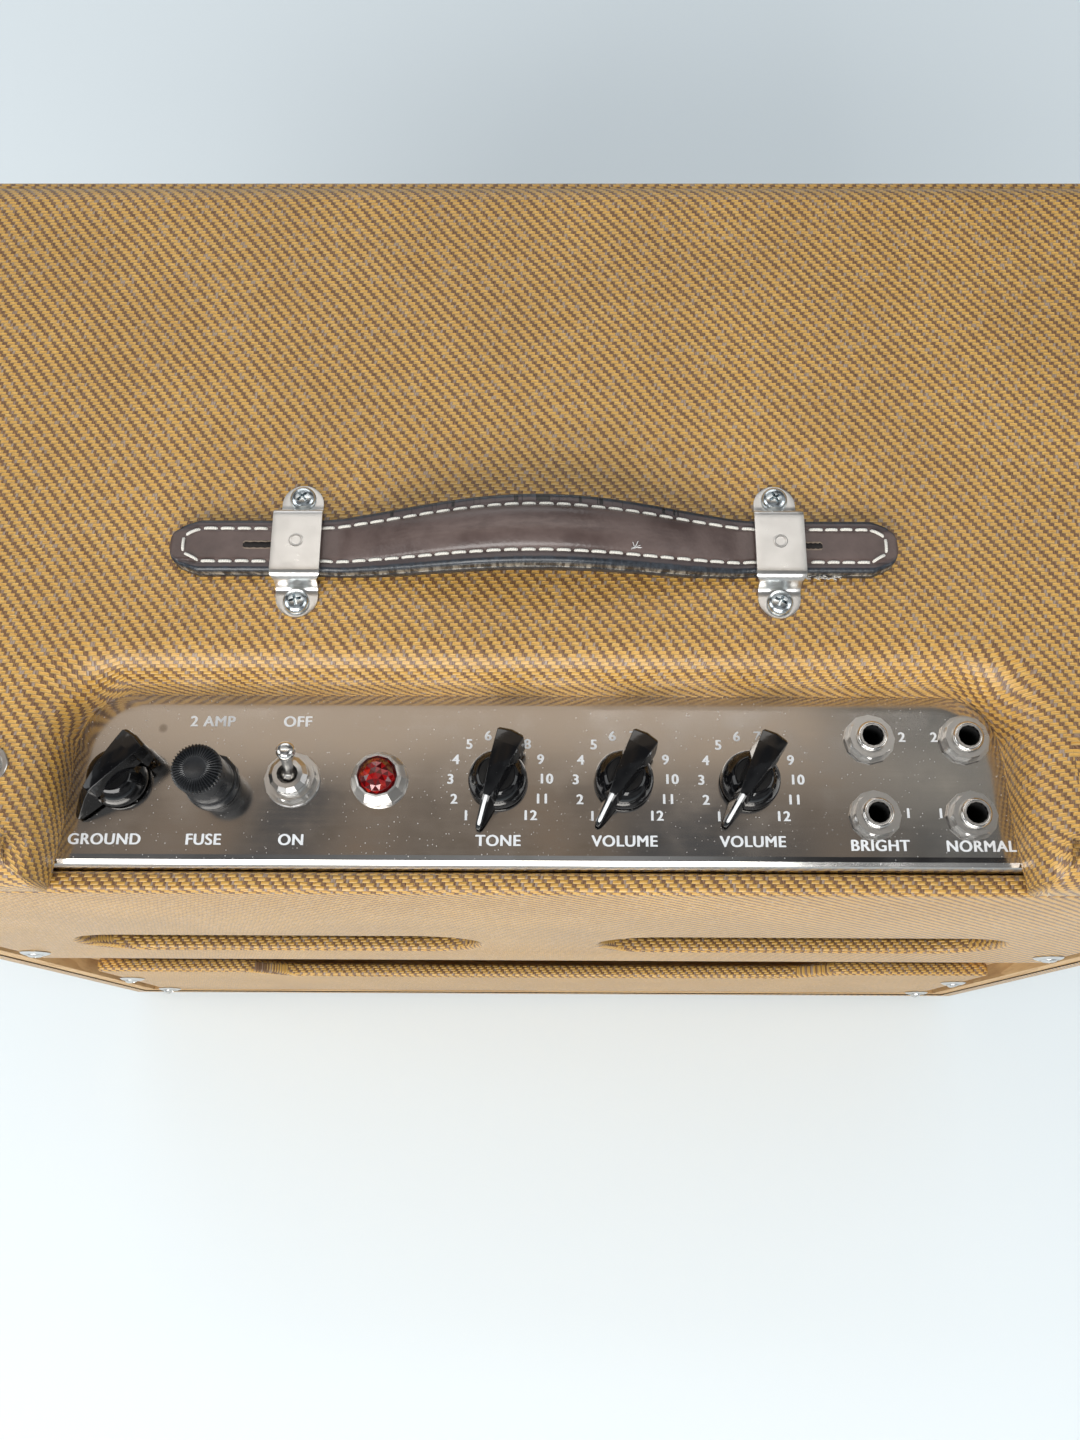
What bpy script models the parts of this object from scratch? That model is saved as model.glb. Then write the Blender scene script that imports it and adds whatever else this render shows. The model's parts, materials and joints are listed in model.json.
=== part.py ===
"""Guitar combo amplifier: one 12 inch loudspeaker and a valve chassis in a cloth-covered pine cabinet.

Frame: metres, +Z up, origin on the floor at the middle of the footprint. The grille faces -Y, the
control panel lies in the top at the +Y side, and +X is to the right of someone facing the grille.
"""

import math

import bmesh
import bpy
from mathutils import Vector
from mathutils.geometry import interpolate_bezier

MM = 0.001

# Cabinet
CAB_WIDTH = 500 * MM
CAB_DEPTH = 241 * MM
CAB_HEIGHT = 413 * MM
GLIDE_HEIGHT = 5 * MM
BOARD = 19.5 * MM
EDGE_RADIUS = 12 * MM
FINGERS = 11
GAP = 0.3 * MM
SPARE = 10 * MM

CAB_TOP = GLIDE_HEIGHT + CAB_HEIGHT
CAB_MIDDLE = GLIDE_HEIGHT + CAB_HEIGHT / 2
INNER_X = CAB_WIDTH / 2 - BOARD
REAR = CAB_DEPTH / 2
FLOOR_TOP = GLIDE_HEIGHT + BOARD
PANEL_Z = CAB_TOP - BOARD - GAP

# Recess in the top board, open to the rear, through which the control panel shows
RECESS_FRONT = 58.9 * MM
RECESS_FRONT_HALF = 141.5 * MM
RECESS_REAR_HALF = 145.2 * MM
RECESS_CORNER = 17 * MM

# Back panels
BACK_THICK = 6.8 * MM
BACK_INNER = REAR - BACK_THICK
UPPER_BACK_HALF = 226.5 * MM
UPPER_BACK_TOP = 3.0 * MM
UPPER_BACK_BOTTOM = 197 * MM
SLOT_INNER = 24 * MM
SLOT_OUTER = 185 * MM
SLOT_TOP = 109 * MM
SLOT_BOTTOM = 158 * MM
LOWER_BACK_HALF = 224 * MM
LOWER_BACK_TOP = 259 * MM
LOWER_DIP_HALF = 148 * MM
LOWER_DIP_RADIUS = 20 * MM
LOWER_DIP_SAG = 3 * MM

# Front
STRIP_FRONT = -117 * MM
STRIP_THICK = 12 * MM
STRIP_TALL = 55 * MM
CLOTH_THICK = 1.0 * MM
BAFFLE_THICK = 12.7 * MM
BAFFLE_HOLE = 135 * MM
CLOTH_FRONT = STRIP_FRONT + STRIP_THICK + GAP
BAFFLE_FRONT = CLOTH_FRONT + CLOTH_THICK + GAP
BAFFLE_REAR = BAFFLE_FRONT + BAFFLE_THICK
SPEAKER_Z = 211.5 * MM

# Chassis
CHASSIS_HALF = 216 * MM
CHASSIS_FRONT = 49.5 * MM
CHASSIS_REAR = 113.4 * MM
CHASSIS_TALL = 89 * MM
SHEET = 1.5 * MM
LIP_RADIUS = 4 * MM
LIP_TALL = 9 * MM
FOLD_RADIUS = 2.5 * MM

# Controls, along X on one row, 1.5 inch between potentiometers
ROW_Y = 86.5 * MM
GROUND_X = 127 * MM
FUSE_X = 98.6 * MM
SWITCH_X = 74.4 * MM
LAMP_X = 47.9 * MM
TONE_X = 11.9 * MM
POT_PITCH = 38.1 * MM
BRIGHT_X = -101.5 * MM
NORMAL_X = -130.5 * MM
JACK_Y = ROW_Y - 1.5 * MM
JACK_HALF_PITCH = 11.9 * MM
TUBE_Y = 80 * MM
RECTIFIER_X = 150 * MM
POWER_TUBE_X = (92 * MM, 42 * MM)
PREAMP_TUBE_X = (-30 * MM, -85 * MM)
GROMMET_PLACE = (190 * MM, 90 * MM)
LEAD_PLACE = (-150 * MM, 92 * MM)

# Direction of each pointer at rest, in degrees from +X
GROUND_POINTS = 49.3
TONE_POINTS = 69.5
VOLUME_POINTS = (60.0, 60.0)
LEVER_LEAN = 12.5

# Handle
HANDLE_Y = 20 * MM
STRAP_HALF = 111 * MM
STRAP_WIDE = 17.5 * MM
STRAP_THICK = 6 * MM
STRAP_MORE_THICK = 4 * MM
STRAP_RISE = 11.2 * MM
CLAMP_X = 72.3 * MM
CLAMP_SCREW_Y = 17 * MM

# Colour, roughness and metallic value of each finish
FINISHES = {
    "tweed": ((0.52, 0.27, 0.07), 0.45, 0.0),
    "pine": ((0.62, 0.43, 0.22), 0.6, 0.0),
    "grille": ((0.16, 0.06, 0.04), 0.8, 0.0),
    "chrome": ((0.72, 0.72, 0.72), 0.12, 1.0),
    "nickel": ((0.66, 0.63, 0.58), 0.25, 1.0),
    "leather": ((0.16, 0.07, 0.035), 0.5, 0.0),
    "black_plastic": ((0.012, 0.012, 0.013), 0.2, 0.0),
    "red_glass": ((0.55, 0.01, 0.015), 0.05, 0.0),
    "tube_glass": ((0.35, 0.36, 0.37), 0.08, 0.0),
    "steel": ((0.45, 0.45, 0.46), 0.35, 1.0),
    "transformer_black": ((0.02, 0.02, 0.022), 0.45, 0.0),
    "brown_phenolic": ((0.1, 0.045, 0.02), 0.5, 0.0),
    "board_black": ((0.025, 0.025, 0.025), 0.7, 0.0),
    "paper": ((0.04, 0.038, 0.036), 0.9, 0.0),
    "rubber": ((0.02, 0.02, 0.02), 0.7, 0.0),
}

ROUND_STEPS = 12
HOLE_STEPS = 16


def new_collection(name):
    collection = bpy.data.collections.new(name)
    bpy.context.scene.collection.children.link(collection)
    return collection


for leftover in list(bpy.data.objects):
    bpy.data.objects.remove(leftover, do_unlink=True)

PARTS = new_collection("guitar_amplifier")
CUTTERS = new_collection("cutters")


# ---------------------------------------------------------------- shared tools


def finish(obj, kind):
    """Gives the object its own Principled material of the named finish."""
    color, roughness, metallic = FINISHES[kind]
    material = bpy.data.materials.new(obj.name + "_" + kind)
    material.use_nodes = True
    shader = material.node_tree.nodes["Principled BSDF"]
    shader.inputs["Base Color"].default_value = (*color, 1.0)
    shader.inputs["Roughness"].default_value = roughness
    shader.inputs["Metallic"].default_value = metallic
    obj.data.materials.clear()
    obj.data.materials.append(material)


def place(name, data, kind, location=(0, 0, 0), rotation=(0, 0, 0)):
    """Links new mesh or curve data as a part, or as a cutter when it has no finish."""
    obj = bpy.data.objects.new(name, data)
    obj.location = location
    obj.rotation_euler = rotation
    if kind:
        PARTS.objects.link(obj)
        finish(obj, kind)
    else:
        CUTTERS.objects.link(obj)
        obj.hide_render = True
        obj.display_type = "WIRE"
    return obj


def mesh_from(name, bm):
    mesh = bpy.data.meshes.new(name)
    bmesh.ops.recalc_face_normals(bm, faces=bm.faces)
    bm.to_mesh(mesh)
    bm.free()
    return mesh


def box(name, size, location, kind=None):
    bm = bmesh.new()
    bmesh.ops.create_cube(bm, size=1)
    bmesh.ops.scale(bm, vec=size, verts=bm.verts)
    return place(name, mesh_from(name, bm), kind, location)


def box_between(name, low, high, kind=None):
    low = Vector(low)
    high = Vector(high)
    return box(name, high - low, (low + high) / 2, kind)


def rounded(obj, width, segments):
    modifier = obj.modifiers.new("rounded_edges", "BEVEL")
    modifier.width = width
    modifier.segments = segments
    modifier.limit_method = "ANGLE"
    return obj


def boolean(obj, tool, operation, solver="EXACT"):
    modifier = obj.modifiers.new(operation.lower() + "_" + tool.name, "BOOLEAN")
    modifier.operation = operation
    modifier.object = tool
    modifier.solver = solver
    return obj


def turned(name, profile, kind, location=(0, 0, 0), rotation=(0, 0, 0), closed=False, steps=ROUND_STEPS):
    """A profile of (radius, height) points in millimetres, down the outer side, turned about Z."""
    bm = bmesh.new()
    points = [bm.verts.new((radius * MM, 0, height * MM)) for radius, height in profile]
    for first, second in zip(points, points[1:]):
        bm.edges.new((first, second))
    if closed:
        bm.edges.new((points[-1], points[0]))
    mesh = bpy.data.meshes.new(name)
    bm.to_mesh(mesh)
    bm.free()
    obj = place(name, mesh, kind, location, rotation)
    screw = obj.modifiers.new("turned", "SCREW")
    screw.steps = steps
    screw.render_steps = steps
    screw.use_merge_vertices = True
    screw.merge_threshold = 0.00001
    screw.use_smooth_shade = True
    return obj


def drill(obj, name, holes):
    """Cuts upright round holes; each is (x, y, z, radius, length) in metres about its middle."""
    bm = bmesh.new()
    for x, y, z, radius, length in holes:
        made = bmesh.ops.create_cone(
            bm, cap_ends=True, segments=HOLE_STEPS, radius1=radius, radius2=radius, depth=length
        )
        bmesh.ops.translate(bm, vec=(x, y, z), verts=made["verts"])
    tool = place(name, mesh_from(name, bm), None)
    return boolean(obj, tool, "DIFFERENCE")


def evaluated_mesh(obj):
    bpy.context.view_layer.update()
    depsgraph = bpy.context.evaluated_depsgraph_get()
    return bpy.data.meshes.new_from_object(obj.evaluated_get(depsgraph))


def copy_of(template_mesh, name, kind, location, rotation=(0, 0, 0)):
    """One more piece of the same shape, with a mesh of its own finish."""
    return place(name, template_mesh.copy(), kind, location, rotation)


def bake_template(obj):
    """The finished mesh of a piece and its Booleans, and the scene without its makings."""
    mesh = evaluated_mesh(obj)
    tools = [modifier.object for modifier in obj.modifiers if modifier.type == "BOOLEAN"]
    for item in [obj, *tools]:
        bpy.data.objects.remove(item, do_unlink=True)
    return mesh


def plate(name, outlines, thickness, kind, location, rotation=(0, 0, 0)):
    """A flat piece from closed outlines in its own XY plane; an inner outline is a hole."""
    curve = bpy.data.curves.new(name + "_outline", "CURVE")
    curve.dimensions = "2D"
    curve.fill_mode = "BOTH"
    curve.extrude = thickness / 2
    curve.render_resolution_u = 0
    for outline in outlines:
        spline = curve.splines.new("POLY")
        spline.points.add(len(outline) - 1)
        for point, (x, y) in zip(spline.points, outline):
            point.co = (x, y, 0, 1)
        spline.use_cyclic_u = True
    source = bpy.data.objects.new(name + "_outline", curve)
    CUTTERS.objects.link(source)
    mesh = evaluated_mesh(source)
    bpy.data.objects.remove(source, do_unlink=True)
    bm = bmesh.new()
    bm.from_mesh(mesh)
    bmesh.ops.remove_doubles(bm, verts=bm.verts, dist=0.00001)
    return place(name, mesh_from(name, bm), kind, location, rotation)


def arc(center, radius, start, end, steps):
    """Points from one angle to another, in degrees, both ends included."""
    angles = [math.radians(start + (end - start) * k / steps) for k in range(steps + 1)]
    return [(center[0] + radius * math.cos(a), center[1] + radius * math.sin(a)) for a in angles]


def mirrored(points):
    """The same points at -X, in the order that continues the outline."""
    return [(-x, y) for x, y in reversed(points)]


FACE_Y = (math.pi / 2, 0, 0)
FACE_X = (math.pi / 2, 0, math.pi / 2)
AXIS_Y = (-math.pi / 2, 0, 0)

# ---------------------------------------------------------------- cabinet


def comb(inner, outer, parity):
    """(along, across) points of one finger-jointed edge, across the depth of the cabinet."""
    pitch = CAB_DEPTH / FINGERS
    points = []
    for finger in range(parity, FINGERS, 2):
        start = -CAB_DEPTH / 2 + finger * pitch + GAP / 2
        end = start + pitch - GAP
        if finger == 0:
            start -= SPARE
        if finger == FINGERS - 1:
            end += SPARE
        points += [(start, inner), (start, outer), (end, outer), (end, inner)]
    return points


def rounded_cabinet(name):
    """The whole outer form of the cabinet, from which one board is taken."""
    shell = box(name, (CAB_WIDTH, CAB_DEPTH, CAB_HEIGHT), (0, 0, CAB_MIDDLE), "tweed")
    return rounded(shell, EDGE_RADIUS, 4)


def flat_board(name, height):
    edge = comb(INNER_X - GAP, CAB_WIDTH / 2 + SPARE, 0)
    right = [(x, y) for y, x in edge]
    board = rounded_cabinet(name)
    side = 1 if height > CAB_MIDDLE else -1
    middle = height + side * SPARE / 2
    mask = plate(name + "_mask", [right + mirrored(right)], BOARD + SPARE, None, (0, 0, middle))
    return boolean(board, mask, "INTERSECT", "MANIFOLD")


def side_board(name, side):
    far = CAB_DEPTH / 2 + SPARE
    ledge = CAB_HEIGHT / 2 - BOARD - GAP
    edge = comb(ledge, CAB_HEIGHT / 2 + SPARE, 1)
    upper = [(-far, ledge), *edge, (far, ledge)]
    lower = [(y, -z) for y, z in reversed(upper)]
    board = rounded_cabinet(name)
    middle = side * (CAB_WIDTH / 2 - BOARD / 2 + SPARE / 2)
    mask = plate(name + "_mask", [upper + lower], BOARD + SPARE, None, (middle, 0, CAB_MIDDLE), FACE_X)
    return boolean(board, mask, "INTERSECT", "MANIFOLD")


def recess_outline(offset):
    """The recess seen from above, grown outwards by the offset."""
    corner = (RECESS_FRONT_HALF - RECESS_CORNER, RECESS_FRONT + RECESS_CORNER)
    right = arc(corner, RECESS_CORNER + offset, -90, 0, 6)
    right.append((RECESS_REAR_HALF + offset, REAR))
    right.append((RECESS_REAR_HALF + offset, REAR + 2 * SPARE))
    return right + mirrored(right)


def recess_cutter():
    """A prism that flares at the top, so the board keeps a round edge along the recess."""
    levels = [(CAB_TOP - BOARD - SPARE, 0)]
    flare = 5
    for k in range(flare + 1):
        angle = math.pi / 2 * k / flare
        levels.append((CAB_TOP - EDGE_RADIUS * (1 - math.sin(angle)), EDGE_RADIUS * (1 - math.cos(angle))))
    levels.append((CAB_TOP + SPARE, EDGE_RADIUS))
    bm = bmesh.new()
    rings = [[bm.verts.new((x, y, z)) for x, y in recess_outline(offset)] for z, offset in levels]
    count = len(rings[0])
    for lower, upper in zip(rings, rings[1:]):
        for k in range(count):
            after = (k + 1) % count
            bm.faces.new((lower[k], lower[after], upper[after], upper[k]))
    bm.faces.new(list(reversed(rings[0])))
    bm.faces.new(rings[-1])
    return place("recess_cutter", mesh_from("recess_cutter", bm), None)


def build_cabinet():
    top = flat_board("cabinet_top", CAB_TOP - BOARD / 2)
    boolean(top, recess_cutter(), "DIFFERENCE", "MANIFOLD")
    screw_places = [(x, HANDLE_Y + y) for x in (-CLAMP_X, CLAMP_X) for y in (-CLAMP_SCREW_Y, CLAMP_SCREW_Y)]
    drill(top, "handle_screw_holes", [(x, y, CAB_TOP, 2.6 * MM, 4 * BOARD) for x, y in screw_places])
    flat_board("cabinet_bottom", GLIDE_HEIGHT + BOARD / 2)
    side_board("cabinet_side_left", -1)
    side_board("cabinet_side_right", 1)
    glide = [(0, 4.7), (11, 4.7), (11, 2.6), (9.5, 0.6), (8, 0), (0, 0)]
    for depth_name, y in (("front", -95 * MM), ("rear", 95 * MM)):
        for side_name, x in (("left", -215 * MM), ("right", 215 * MM)):
            turned("glide_" + depth_name + "_" + side_name, glide, "nickel", (x, y, 0))


def build_cleats():
    """Battens on the side boards that the back panels are screwed to."""
    wide = 18.7 * MM
    top = PANEL_Z - CHASSIS_TALL - 3 * MM
    for side_name, side in (("left", -1), ("right", 1)):
        near = side * (INNER_X - GAP - wide)
        far = side * (INNER_X - GAP)
        low = (min(near, far), BACK_INNER - GAP - 19 * MM, FLOOR_TOP + GAP)
        box_between("rear_cleat_" + side_name, low, (max(near, far), BACK_INNER - GAP, top), "pine")


def build_front():
    low_x = -(INNER_X - GAP)
    strip_rear = STRIP_FRONT + STRIP_THICK
    upper = (PANEL_Z - STRIP_TALL, PANEL_Z)
    lower = (FLOOR_TOP + GAP, FLOOR_TOP + STRIP_TALL)
    for name, (z_low, z_high) in (("front_panel_top", upper), ("front_panel_bottom", lower)):
        box_between(name, (low_x, STRIP_FRONT, z_low), (-low_x, strip_rear, z_high), "tweed")
    inset = 1.5 * MM
    low = (low_x + inset, CLOTH_FRONT, FLOOR_TOP + inset)
    high = (-low_x - inset, CLOTH_FRONT + CLOTH_THICK, PANEL_Z - inset)
    box_between("grille_cloth", low, high, "grille")
    middle = (FLOOR_TOP + PANEL_Z) / 2
    half_tall = (PANEL_Z - FLOOR_TOP) / 2 - inset
    half_wide = INNER_X - GAP - inset
    sheet = [(-half_wide, -half_tall), (half_wide, -half_tall), (half_wide, half_tall), (-half_wide, half_tall)]
    hole = arc((0, SPEAKER_Z - middle), BAFFLE_HOLE, 0, 360, 36)[:-1]
    place_at = (0, (BAFFLE_FRONT + BAFFLE_REAR) / 2, middle)
    plate("baffle_board", [sheet, hole], BAFFLE_THICK, "board_black", place_at, FACE_Y)


def build_back_panels():
    top = PANEL_Z - UPPER_BACK_TOP
    bottom = PANEL_Z - UPPER_BACK_BOTTOM
    sheet = [(-UPPER_BACK_HALF, bottom), (UPPER_BACK_HALF, bottom), (UPPER_BACK_HALF, top), (-UPPER_BACK_HALF, top)]
    radius = (SLOT_BOTTOM - SLOT_TOP) / 2
    slot_z = PANEL_Z - (SLOT_TOP + SLOT_BOTTOM) / 2
    slot = arc((SLOT_OUTER - radius, slot_z), radius, -90, 90, 8)
    slot += arc((SLOT_INNER + radius, slot_z), radius, 90, 270, 8)
    middle_y = (BACK_INNER + REAR) / 2
    plate("upper_back_panel", [sheet, slot, mirrored(slot)], BACK_THICK, "tweed", (0, middle_y, 0), FACE_Y)

    shoulder = PANEL_Z - LOWER_BACK_TOP
    foot = FLOOR_TOP + 2.5 * MM
    dip_z = shoulder - LOWER_DIP_RADIUS
    inner_half = LOWER_DIP_HALF - LOWER_DIP_RADIUS
    right = [(LOWER_BACK_HALF, foot), (LOWER_BACK_HALF, shoulder)]
    right += arc((LOWER_DIP_HALF, dip_z), LOWER_DIP_RADIUS, 90, 180, 4)
    for share in (0.75, 0.5, 0.25):
        sag = LOWER_DIP_SAG * (1 - share * share)
        right.append((inner_half * share, dip_z - sag))
    outline = right + [(0, dip_z - LOWER_DIP_SAG)] + mirrored(right)
    plate("lower_back_panel", [outline], BACK_THICK, "tweed", (0, middle_y, 0), FACE_Y)


# ---------------------------------------------------------------- chassis and what it carries


def chassis_path():
    """(y, z) points of the folded sheet's outside, from the rear lip over the top to the bottom flange."""
    lip_center = (CHASSIS_REAR - LIP_RADIUS, -LIP_RADIUS)
    front = CHASSIS_FRONT + FOLD_RADIUS
    path = [(CHASSIS_REAR, -LIP_TALL)]
    path += arc(lip_center, LIP_RADIUS, 0, 90, 4)
    path += arc((front, -FOLD_RADIUS), FOLD_RADIUS, 90, 180, 2)
    path += arc((front, FOLD_RADIUS - CHASSIS_TALL), FOLD_RADIUS, 180, 270, 2)
    path.append((CHASSIS_REAR - SHEET, -CHASSIS_TALL))
    return path


def build_chassis():
    bm = bmesh.new()
    sides = []
    for x in (-CHASSIS_HALF, CHASSIS_HALF):
        sides.append([bm.verts.new((x, y, z)) for y, z in chassis_path()])
    left, right = sides
    for k in range(len(left) - 1):
        bm.faces.new((right[k], left[k], left[k + 1], right[k + 1]))
    mesh = bpy.data.meshes.new("chassis")
    bm.to_mesh(mesh)
    bm.free()
    chassis = place("chassis", mesh, "chrome", (0, 0, PANEL_Z))
    fold = chassis.modifiers.new("sheet", "SOLIDIFY")
    fold.thickness = SHEET
    fold.offset = -1
    fold.use_even_offset = True

    inset = 0.6 * MM
    for side_name, x in (("left", -CHASSIS_HALF + 2 * MM), ("right", CHASSIS_HALF - 2 * MM)):
        low = (x - SHEET / 2, CHASSIS_FRONT + 1.1 * MM, PANEL_Z - CHASSIS_TALL + inset)
        high = (x + SHEET / 2, CHASSIS_REAR - 2.2 * MM, PANEL_Z - inset)
        boolean(chassis, box_between("chassis_end_" + side_name, low, high), "UNION")

    small = 5.0 * MM
    deep = 8 * MM
    top_holes = [(GROUND_X, ROW_Y, small), (FUSE_X, ROW_Y, 6.7 * MM), (SWITCH_X, ROW_Y, 6.3 * MM)]
    top_holes.append((LAMP_X, ROW_Y, 6.4 * MM))
    top_holes += [(TONE_X - k * POT_PITCH, ROW_Y, small) for k in range(3)]
    top_holes += [(x, y, small) for x, y in jack_places()]
    drill(chassis, "panel_holes", [(x, y, PANEL_Z, r, deep) for x, y, r in top_holes])
    floor = PANEL_Z - CHASSIS_TALL
    floor_holes = [(RECTIFIER_X, TUBE_Y, 13.2 * MM)]
    floor_holes += [(x, TUBE_Y, 13.2 * MM) for x in POWER_TUBE_X]
    floor_holes += [(x, TUBE_Y, 9.9 * MM) for x in PREAMP_TUBE_X]
    floor_holes += [(*GROMMET_PLACE, 6.3 * MM), (*LEAD_PLACE, 3.8 * MM)]
    drill(chassis, "floor_holes", [(x, y, floor, r, deep) for x, y, r in floor_holes])


def jack_places():
    """Bright pair first, rear jack before front jack."""
    return [(x, JACK_Y + side * JACK_HALF_PITCH) for x in (BRIGHT_X, NORMAL_X) for side in (1, -1)]


def build_pots_and_jacks():
    neck = [(0, -8), (3.5, -8), (3.5, 5.5), (4.6, 5.5), (4.6, 2.4), (6.8, 2.4), (6.8, 0.3), (4.7, 0.3), (4.7, -1.8)]
    for name, k in (("pot_tone", 0), ("pot_volume_1", 1), ("pot_volume_2", 2)):
        can = [(11.8, -1.8), (11.8, -11.5), (0, -11.5)]
        turned(name, neck + can, "steel", (TONE_X - k * POT_PITCH, ROW_Y, PANEL_Z))
    wafer = [(14, -1.8), (14, -16), (0, -16)]
    turned("ground_switch", neck + wafer, "steel", (GROUND_X, ROW_Y, PANEL_Z))

    jack = [(0, -24), (3.3, -24), (3.3, 5.2), (4.2, 5.2), (4.7, 4.7), (4.7, 3.6), (6.6, 3.6), (6.6, 1.2)]
    jack += [(7.7, 1.2), (7.7, 0.3), (4.7, 0.3), (4.7, -1.8), (9, -1.8), (9, -27), (0, -27)]
    names = ("jack_bright_1", "jack_bright_2", "jack_normal_1", "jack_normal_2")
    for name, (x, y) in zip(names, jack_places()):
        turned(name, jack, "nickel", (x, y, PANEL_Z))


def build_fuse():
    where = (FUSE_X, ROW_Y, PANEL_Z)
    holder = [(0, -38), (3.5, -38), (3.5, 2.4), (7.6, 2.4), (7.9, 1.9), (7.9, 0.3), (6.4, 0.3), (6.4, -1.8)]
    holder += [(7.4, -1.8), (7.4, -5), (6.2, -5), (6.2, -41), (0, -41)]
    turned("fuse_holder", holder, "black_plastic", where)
    cap = [(0, 22.3), (6.6, 22.3), (7.3, 21.4), (7.5, 2.8), (3.1, 2.8), (3.1, -28), (0, -28)]
    turned("fuse_cap", cap, "black_plastic", where)


def build_power_switch():
    where = (SWITCH_X, ROW_Y, PANEL_Z)
    body = [(0, 0), (3.2, 0), (3.2, 8.2), (4.6, 8.2), (5.9, 6.9), (5.9, 4.2), (7.4, 4.2), (7.4, 1.3)]
    body += [(8.5, 1.3), (8.5, 0.3), (5.9, 0.3), (5.9, -1.8), (8.6, -1.8), (8.6, -20), (0, -20)]
    turned("power_switch", body, "nickel", where)
    lever = [(0, 17.4), (1.5, 17.1), (2.4, 16), (2.5, 14.2), (1.9, 9), (1.6, 3), (2.1, 1.2), (2.3, 0), (1.6, -1.7), (0, -2.3)]
    pivot = (SWITCH_X, ROW_Y, PANEL_Z + 5 * MM)
    turned("switch_lever", lever, "chrome", pivot, (math.radians(LEVER_LEAN), 0, 0), steps=12)


def build_pilot_lamp():
    where = (LAMP_X, ROW_Y, PANEL_Z)
    bezel = [(6.1, 6.4), (6.7, 6.2), (7.2, 4.6), (8.4, 2.2), (8.7, 0.3), (6.1, 0.3), (6.1, -1.8)]
    bezel += [(7.4, -1.8), (7.4, -20), (5, -20), (5, 1.4), (6.1, 1.4)]
    turned("pilot_bezel", bezel, "chrome", where, closed=True)
    jewel = [(0, 9.6), (2.6, 8.9), (4.6, 7.4), (5.75, 5.6), (5.75, 1.8), (0, 1.8)]
    turned("pilot_jewel", jewel, "red_glass", where, steps=12)


def pointer_knob_mesh():
    """A pointer knob at the row frame's origin: round base, tapering fin along +X, and its shaft."""
    dome = [(0, 9.4), (5.2, 9.2), (7.4, 7.6), (8.7, 4.8), (9, 2.2), (9, 1), (0, 1)]
    knob = turned("knob", dome, "black_plastic", steps=24)
    # Each station: distance along the pointer, half width at top and bottom, bottom and top height
    stations = [
        (-12.2, 3.7, 4.1, 5.0, 13.9),
        (-11.6, 4.1, 4.6, 3.6, 14.8),
        (-4.0, 3.2, 4.3, 1.2, 15.0),
        (6.5, 1.4, 2.8, 1.2, 13.4),
        (9.5, 1.1, 2.2, 1.2, 11.6),
        (13.6, 0.9, 1.6, 1.2, 6.4),
        (16.6, 0.6, 0.9, 1.2, 2.6),
    ]
    bm = bmesh.new()
    rings = []
    for x, top_half, bottom_half, z_low, z_high in stations:
        corners = [(-bottom_half, z_low), (bottom_half, z_low), (top_half, z_high), (-top_half, z_high)]
        rings.append([bm.verts.new((x * MM, y * MM, z * MM)) for y, z in corners])
    for near, far in zip(rings, rings[1:]):
        for k in range(4):
            after = (k + 1) % 4
            bm.faces.new((near[k], near[after], far[after], far[k]))
    bm.faces.new(list(reversed(rings[0])))
    bm.faces.new(rings[-1])
    boolean(knob, place("knob_fin", mesh_from("knob_fin", bm), None), "UNION")
    drill(knob, "knob_hollow", [(0, 0, 0.6 * MM, 7.4 * MM, 11.2 * MM)])
    shaft = turned("knob_shaft", [(0, 7.5), (3.1, 7.5), (3.1, -6), (0, -6)], None)
    boolean(knob, shaft, "UNION")
    return bake_template(knob)


def build_knobs():
    shape = pointer_knob_mesh()
    placed = [("ground_knob", GROUND_X, GROUND_POINTS), ("knob_tone", TONE_X, TONE_POINTS)]
    placed.append(("knob_volume_1", TONE_X - POT_PITCH, VOLUME_POINTS[0]))
    placed.append(("knob_volume_2", TONE_X - 2 * POT_PITCH, VOLUME_POINTS[1]))
    for name, x, points in placed:
        copy_of(shape, name, "black_plastic", (x, ROW_Y, PANEL_Z), (0, 0, math.radians(points)))


def build_tubes():
    floor = PANEL_Z - CHASSIS_TALL
    octal = [(0, 11), (12.8, 11), (12.8, -0.3), (16.8, -0.3), (16.8, -2.2), (0, -2.2)]
    noval = [(0, 9), (9.5, 9), (9.5, -0.3), (12, -0.3), (12, -2.2), (0, -2.2)]
    seat = floor - 2.5 * MM
    rectifier = [(0, 0), (16, 0), (16, -20), (14.5, -22), (19, -36), (20, -70), (15, -88), (0, -95)]
    power = [(0, 0), (14.5, 0), (14.5, -20), (13.5, -22), (16, -32), (16, -62), (10, -74), (0, -78)]
    preamp = [(0, 0), (10, 0), (10, -40), (7, -46), (0, -49)]
    places = [("rectifier", RECTIFIER_X, octal, rectifier)]
    places += [("power_" + str(k + 1), x, octal, power) for k, x in enumerate(POWER_TUBE_X)]
    places += [("preamp_" + str(k + 1), x, noval, preamp) for k, x in enumerate(PREAMP_TUBE_X)]
    for name, x, socket, tube in places:
        turned("tube_socket_" + name, socket, "brown_phenolic", (x, TUBE_Y, floor))
        turned("tube_" + name, tube, "tube_glass", (x, TUBE_Y, seat))


def transformer(name, low, high, core_y):
    """A bell-ended transformer on the chassis front wall, its core plates standing proud all round."""
    bells = rounded(box_between(name, low, high, "transformer_black"), 5 * MM, 2)
    proud = 4 * MM
    core_low = (low[0] - proud, core_y[0], low[2] - proud)
    core_high = (high[0] + proud, core_y[1], high[2] + proud)
    return boolean(bells, box_between(name + "_core", core_low, core_high), "UNION")


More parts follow.
